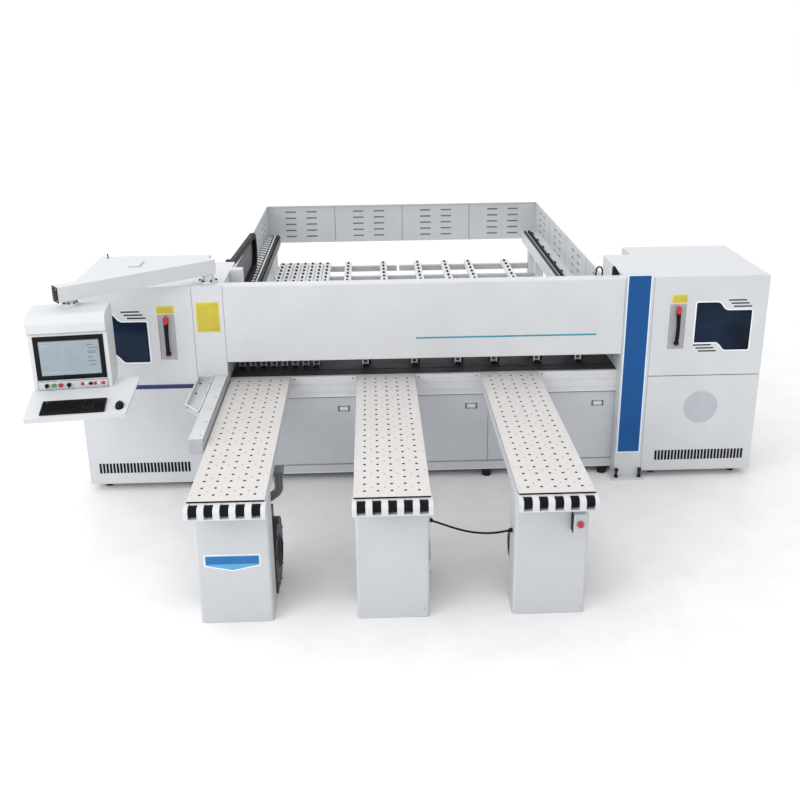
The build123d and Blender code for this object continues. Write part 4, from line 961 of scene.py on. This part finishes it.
def fence_fittings():
    """End cap, painted shadow lines along the side and bolts of the side fence, rim and bolts of its tray."""
    end = -1504
    cap = cut_block("fence_cap", (-1419, end, 926), (-1321, -1500.1, 1039), 2)
    mount(dish(cap, 9, 1, "-y"), "aluminium", RECESS_GREY)
    corners = [(x, end, z) for x in (-1413, -1327) for z in (932, 1033)]
    mount(copies("fence_cap_screws", screw(3.5), corners, "-y"), "bright_steel")
    # Painted shadow: two dark lines along the side of the fence
    side_shadows = [((-1320, -1490, z), (-1319.2, -240, z + 7)) for z in (942, 1014)]
    mount(cut_blocks("fence_side_shadows", side_shadows, 0.3, 1), "black_plastic", SHADE_LINE)
    tops = [(-1345.0, -1440.0 + 240.0 * i, 1040.1) for i in range(6)]
    mount(copies("fence_bolts", bolt(6, 6), tops), "bright_steel")
    outline = ((-1560, -840), (-1428, -1000), (-1428, -236), (-1560, -236))
    rim = open_middle(cut_outline("tray_rim", outline, 5, 3), 9)
    mount(put(rim, (0, 0, 1034.1)), "white_paint", RAIL_WHITE)
    spots = [(x, y, 995) for x in (-1535, -1453) for y in (-300, -520)]
    mount(copies("tray_bolts", bolt(7, 8), spots), "black_steel")


def blower_fittings():
    """Motor fins and cowls, inlet rings, housing bolts and duct bands of the three blowers."""
    fins, cowls, inlets, heads, bands = [], [], [], [], []
    for x in TABLE_XS:
        side = x + 55.0
        face = side + 200.1
        fins += [(side - 60.0 - 18.0 * i, BLOWER_Y, BLOWER_Z) for i in range(9)]
        cowls.append((side - 250.0, BLOWER_Y, BLOWER_Z))
        inlets.append((face, BLOWER_Y, BLOWER_Z))
        for i in range(10):
            angle = pi * (i + 0.5) / 5
            heads.append((face, BLOWER_Y + 226.0 * cos(angle), BLOWER_Z + 226.0 * sin(angle)))
        bands += [(x + 155.0, -1640.0, z) for z in ((576.0,) if x < -1000 else (576.0, 836.0))]
    fin = turned("fin", mirrored(((105, 2), (95.3, 2))), 28, True)
    mount(copies("motor_fins", fin, fins, "x"), "blower_paint")
    cowl = turned("cowl", ((96, -28), (99, -26), (99, 6), (94, 13), (60, 15), (58, 12), (14, 12)), 32)
    mount(copies("motor_cowls", cowl, cowls, "-x"), "black_plastic")
    ring = turned("inlet", ((96, 0), (124, 0), (124, 3), (112, 6), (108, 14), (101, 16), (96, 12)), 36, True)
    mount(copies("inlet_rings", ring, inlets, "x"), "blower_paint")
    mount(copies("housing_bolts", bolt(6, 7), heads, "x"), "black_steel")
    band = turned("band", mirrored(((32.2, 7), (30.3, 7))), 28, True)
    clasp = cut_block("clasp", (-9, -40, -6), (9, -31, 6), 2)
    mount(copies("duct_bands", fuse("band", [band, clasp]), bands), "bright_steel")


panel_grips()
front_strip()
fence_fittings()
blower_fittings()


# Posts, cabinets and beam


def cabinet_seams():
    """Dark seams beside the posts, hinge knuckles of the doors, rear covers, lid, pin and spigot flange."""
    strips = [
        ((x, FRONT_Y - 0.9, 24), (x + 3, FRONT_Y - 0.05, 1810)) for x in (-1564.8, -1313.2, 1975.2, 2213.8)
    ]
    mount(cut_blocks("post_seams", strips, 0.2, 1), "black_plastic", SEAM_GREY)
    knuckle = turned("knuckle", mirrored(((8, 18), (7, 19), (7, 20), (8, 21), (8, 58), (5, 60))), 16)
    for side, x in DOOR_HINGE.items():
        spots = [(x, -211.0, z) for z in (1060, 1380, 1700)]
        mount(copies(side + "_door_knuckles", knuckle.copy(), spots), "white_paint")
    bpy.data.objects.remove(knuckle)
    for side, (left, right) in CABINET_X.items():
        low, high = (left + 70, CABINET_BACK + 0.1, 620), (right - 70, CABINET_BACK + 4, 1730)
        cover = dish(cut_block(side + "_rear_cover", low, high, 1.6), 34, 1.6, "y")
        mount(cover, "white_paint")
        spots = [(x, CABINET_BACK + 4, z) for x in (left + 90, right - 90) for z in (640, 985, 1365, 1710)]
        mount(copies(side + "_rear_screws", screw(7), spots, "y"), "bright_steel")
    low, high = (-2226, 440, FRAME_TOP + 0.1), (-2120, 620, FRAME_TOP + 12)
    fit_block("cabinet_lid", low, high, "white_paint", None, 4, 3)
    pin = turned("cabinet_pin", ((9, 0.1), (9, 4), (5, 5), (5, 26), (7, 28), (7, 36), (5, 38)), 16)
    mount(put(pin, (-2482, 789, FRAME_TOP)), "black_steel")
    flange = turned("spigot_flange", ((75.3, 0.1), (98, 0.1), (98, 5), (82, 7), (75.3, 7)), 40, True)
    mount(put(flange, (-2060, CABINET_BACK, 420), "y"), "bright_steel")


def beam_eye():
    """A bent lifting eye and a hook bracket behind the beam's top edge, with their bolts."""
    route = ((1753, 1776), (1753, 1830), (1756, 1868), (1779, 1884), (1802, 1868), (1805, 1830), (1805, 1776))
    eye = bent_line("lifting_eye", 7.0, route, -118.5, 4, 8)
    take(eye)
    bpy.ops.object.convert(target="MESH")
    plate = cut_block("plate", (1738, -124.9, 1762), (1820, -121, 1790))
    mount(fuse("lifting_eye", [eye, plate]), "black_steel")
    hook = cut_outline("hook_bracket", ((0, -48), (62, -48), (66, 4), (24, 70), (8, 74), (2, 58)), 10, 4)
    mount(put(hook, (1885, -114.5, FRAME_TOP), "-y"), "black_steel")
    spots = [(x, y, 1776.0) for x, y in ((1745, -121.0), (1813, -121.0), (1900, -114.5), (1932, -114.5))]
    mount(copies("eye_bolts", bolt(5, 6), spots, "y"), "bright_steel")


cabinet_seams()
beam_eye()


# Field behind the beam


def rail_wheels():
    """Black wheels of the rear rails with rounded treads and hubs."""
    wheel = turned("wheel", mirrored(((24, 9), (22.5, 11), (19, 11), (17, 9), (6, 9))), 12)
    spots = [(x, 3810.0 - 160.0 * i, 956.0) for x in RAIL_XS for i in range(22)]
    wheels = mount(copies("rail_wheel_set", wheel, spots, "x"), "black_plastic", smooth=50)
    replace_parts(wheels, "rail_wheels")


def gripper_jaws():
    """Upper gripper jaws with hooked noses."""
    outline = (
        (75, 1042), (84, 1036), (385, 1038), (394, 1047), (385, 1056), (330, 1055), (150, 1057), (118, 1068),
        (84, 1068), (75, 1062),
    )
    jaw = put(cut_outline("jaw", outline, 29), (-14.5, 0, 0), "yz")
    round_edges(jaw, 1.2, 2)
    jaws = copies("hooked_jaws", jaw, [(x, 0, 0) for x in CLOSE_GRIP_XS + SINGLE_GRIP_XS])
    mount(jaws, "bright_steel", LIT_ZINC, "gripper_jaws")
    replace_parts(jaws, "gripper_jaws")


def board_stops():
    """Forked stops on the gripper plates, darker in the close row as painted shade, and blocks beside the
    single ones.
    """
    outline = (
        (-28, 985), (-20.8, 985), (-20.8, 995.3), (20.8, 995.3), (20.8, 985), (28, 985), (28, 1062),
        (17, 1062), (17, 999), (-17, 999), (-17, 1062), (-28, 1062),
    )
    fork = put(cut_outline("fork", outline, 18), (0, 118, 0), "-y")
    round_edges(fork, 1.5, 2, "-y")
    close, single = [(x, 0, 0) for x in CLOSE_GRIP_XS], [(x, 0, 0) for x in SINGLE_GRIP_XS]
    # Painted shade: the close row takes a darker grey, for the shade among the packed grippers
    mount(copies("close_board_stops", fork.copy(), close), "bright_steel", TUBE_GREY, "pusher")
    mount(copies("board_stops", fork, single), "bright_steel", LIT_ZINC, "pusher")
    block = cut_block("block", (28.4, 100, 988), (46, 146, 1052), 3)
    mount(copies("stop_sensors", block, single), "black_plastic", body="pusher")


def chain_link():
    """One link of the drag chain: two sides with pins, and two bars."""
    parts = []
    for x in (-21, 21):
        parts.append(cut_block("side", (x - 4, -27, -27), (x + 4, 27, 27), 5))
        parts.append(put(turned("pin", ((13, -5.2), (13, 5.2)), 14), (x, 22, 0), "x"))
    for z in (-24, 24):
        parts.append(cut_block("bar", (-18, -25, z - 3.5), (18, 25, z + 3.5), 2, 1))
    return fuse("link", parts)


def drag_chain():
    """Links along the tray, round the loop and back to the pusher; on the machine the loop moves half as far
    as the pusher.
    """
    pitch, radius, low, loop = 55.0, 180.0, 1235.0, 2600.0
    anchor, carried = 1200.0, 860.0
    lower, arc, upper, rise = loop - anchor, pi * radius, loop - carried, radians(3.3)
    halves = [], []
    for i in range(int((lower + arc + upper) // pitch)):
        along = (i + 0.5) * pitch
        if along < lower:
            spot, turn = (CHAIN_X, anchor + along, low), 0.0
        elif along < lower + arc:
            turn = (along - lower) / radius
            spot = (CHAIN_X, loop + radius * sin(turn), low + radius - radius * cos(turn))
        else:
            past = along - lower - arc
            spot, turn = (CHAIN_X, loop - past * cos(rise), low + 2 * radius + past * sin(rise)), pi - rise
        halves[along > lower + arc / 2].append(facing(spot) @ Matrix.Rotation(turn, 4, "X"))
    link = chain_link()
    tip = loop + radius
    for name, moves, start, end in (
        ("lower_chain_links", halves[0], anchor, 2 * tip - anchor),
        ("upper_chain_links", halves[1], 2 * tip - carried, carried),
    ):
        chain = copies(name, link.copy(), moves)
        coat(chain, "black_plastic")
        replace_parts(chain, "drag_chain")
        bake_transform(chain)
    bpy.data.objects.remove(link)


def chain_fittings():
    """Dark plate behind the drag chain, the stand and bracket of its moving end, a box on the left post."""
    plate = cut_block("chain_side_plate", (-1431.8, 700, 1204), (-1429.4, 2760, 1534), 0.8)
    mount(dish(plate, 26, 0.8, "x"), "black_plastic", SLOT_SHADE)
    stand = cut_block("chain_stand", (-1427, 655, 1640.4), (-1379, 825, 1712), 4, 3)
    mount(dish(stand, 14, 4, "x", "-x"), "white_paint", body="pusher")
    box = cut_block("post_box", (-1309.6, 200, 1650), (-1202, 296, 1830), 4, 3)
    mount(dish(box, 12, 3, "y"), "white_paint")
    outline = ((720, 1712), (862, 1712), (862, 1764), (800, 1764))
    bracket = put(cut_outline("chain_bracket", outline, 48, 6), (-1427, 0, 0), "yz")
    mount(bracket, "black_plastic", body="pusher")


def rail_profile(width):
    """Section of a profile rail, with its waist."""
    half = width / 2
    return (
        (-half, 0), (half, 0), (half, 8), (half - 3, 11), (half, 14), (half, 20), (half - 2, 22),
        (2 - half, 22), (-half, 20), (-half, 14), (3 - half, 11), (-half, 8),
    )


def pusher_rails():
    """Profile rails of the pusher, the toothed rack and clamps on the right, strips and slats on the left."""
    (front, back), top = PUSHER_Y, PUSHER_TOP
    for side, x in (("left", -1289.0), ("right", 1886.0)):
        bar = put(cut_outline(side + "_rail", rail_profile(22), back - front), (x, back, top), "-y")
        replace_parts(mount(bar, "black_steel"), "guide_rails")
    tooth = cut_block("tooth", (0, -4.5, 0), (13.8, 4.5, 10), 0)
    narrow_top(tooth, (1, 0.5, 1), (0, 0, 10))
    foot = ((-14, 0), (14, 0), (14, 24), (0, 24), (0, 12), (-14, 12))
    bar = put(cut_outline("bar", foot, back - front), (1938, back, top), "-y")
    teeth = copies("teeth", tooth, [(1924, front + 10 + 16 * i, top + 11.9) for i in range(235)])
    mount(fuse("right_rack", [bar, teeth]), "black_steel", smooth=20)

    # Painted shade: a dark sheet under the slats, for the shade in the gaps between them
    low, high = (-1376, front, top + 7), (-1345, back, top + 14)
    fit_block("left_strip_gap_shade", low, high, "bright_steel", SHADE_LINE, 0.8, 1)
    slat = cut_block("slat", (-1375.4, -32, top + 13.5), (-1345.6, 32, top + 16), 0.8, 1)
    slats = copies("left_strip_slats", slat, [(0, front + 60 + 116 * i, 0) for i in range(32)])
    mount(slats, "bright_steel", PALE_RIM, smooth=20)
    fit_block("left_rack_bar", (-1331, front, top), (-1313, back, top + 18), "bright_steel", PALE_RIM)
    strips = ((-1344.6, -1331.2), (-1312.8, -1300.5), (-1277.5, -1263.0))
    covers = [((left, front, 1200.1), (right, back, 1206)) for left, right in strips]
    mount(cut_blocks("rail_cover_strips", covers, 0.6, 1), "black_rubber")
    low, high = (-1357, front, top), (-1346, back, top + 7.4)
    fit_block("left_strip_foot", low, high, "bright_steel", SEAM_GREY, 0.5, 1)
    # Painted shade: a dark sheet under the tray's slats, for the shade in the gaps between them
    low, high = (-1427, 2850, 1206.7), (-1378, 4245, 1207.1)
    fit_block("tray_gap_shade", low, high, "black_plastic", SHADE_LINE, 0.1, 1)
    slat = cut_block("slat", (-1426, -32, 1207), (-1379, 32, 1208.4), 0.4, 1)
    mount(copies("tray_slats", slat, [(0, 2900 + 116 * i, 0) for i in range(12)]), "bright_steel", PALE_RIM)
    # Painted shadow: a dark strip on the inner side of the left rail beam, which lies in shade
    fit_block("rail_side_shadow", (-1261.9, front, 1118), (-1258.5, back, 1198), "black_rubber", SLOT_SHADE, 1)

    clamps = [((1953, y, 1200.2), (1976, y + 46, 1224)) for y in range(760, 4200, 380)]
    mount(cut_blocks("rack_clamps", clamps, 2), "black_steel")


def saw_guides():
    """The saw's two profile rails on the bed wall."""
    outline = [(-x, -z) for x, z in rail_profile(25)]
    bars = [put(cut_outline("guide", outline, 5700), (-2540, 261.6, z + 12.5), "x") for z in (300.0, 560.0)]
    mount(fuse("saw_guides", bars), "bright_steel")


def guard_slot_shades():
    """Dark sheets behind the guards' slots as painted shade, hems, covers on the seams between panels,
    rivets.
    """
    (left, right), back, low, high = GUARD_X, GUARD_BACK, 1130.0, 1492.0
    wide = (right - left) / 4
    start, long = 558.4, (4546.6 - 558.4) / 4
    slot_shades, seams, rivets = [], [], []
    for i in range(4):
        x, y = left + (i + 0.5) * wide, start + (i + 0.5) * long
        # Painted shade: dark sheets behind the slots, so the slots look shaded
        slot_shades.append(((x - 214, back + 3.2, low), (x + 214, back + 5.2, high)))
        slot_shades.append(((left - 2.2, y - 214, low), (left - 0.2, y + 214, high)))
        slot_shades.append(((right + 0.2, y - 214, low), (right + 2.2, y + 214, high)))
        for off in (-200, 200):
            for z in (low + 8, high - 8):
                rivets.append(facing((x + off, back + 5.2, z), "y"))
                rivets.append(facing((left - 2.2, y + off, z), "-x"))
                rivets.append(facing((right + 2.2, y + off, z), "x"))
    for i in (1, 2, 3):
        x, y = left + i * wide, start + i * long
        seams.append(((x - 5, back - 1.2, 1071), (x + 5, back - 0.1, 1535)))
        seams.append(((x - 14, back + 3.1, 1071), (x + 14, back + 5.0, 1551)))
        seams.append(((-1432.3, y - 5, 1202), (-1431.9, y + 5, 1535)))
        seams.append(((2055.2, y - 5, 1202), (2056.3, y + 5, 1535)))
    hems = (
        ((-1432.2, back - 3.2, 1536), (2056.2, back - 0.1, 1553.4)),
        ((-1432.3, 562, 1536), (-1429.6, back - 3.4, 1553.4)),
        ((2053.6, 562, 1536), (2056.3, back - 3.4, 1553.4)),
    )
    mount(cut_blocks("guard_hems", hems, 1), "guard_paint", RAIL_WHITE)
    mount(cut_blocks("guard_slot_shades", slot_shades, 0.4, 1), "guard_paint", SLOT_SHADE)
    mount(cut_blocks("guard_seams", seams, 0.4, 1), "guard_paint", SEAM_GREY)
    head = turned("head", ((5, 0), (4.4, 1.6), (2.4, 2.4)), 10)
    mount(copies("guard_rivets", head, rivets), "bright_steel")


rail_wheels()
gripper_jaws()
board_stops()
drag_chain()
chain_fittings()
pusher_rails()
saw_guides()
guard_slot_shades()
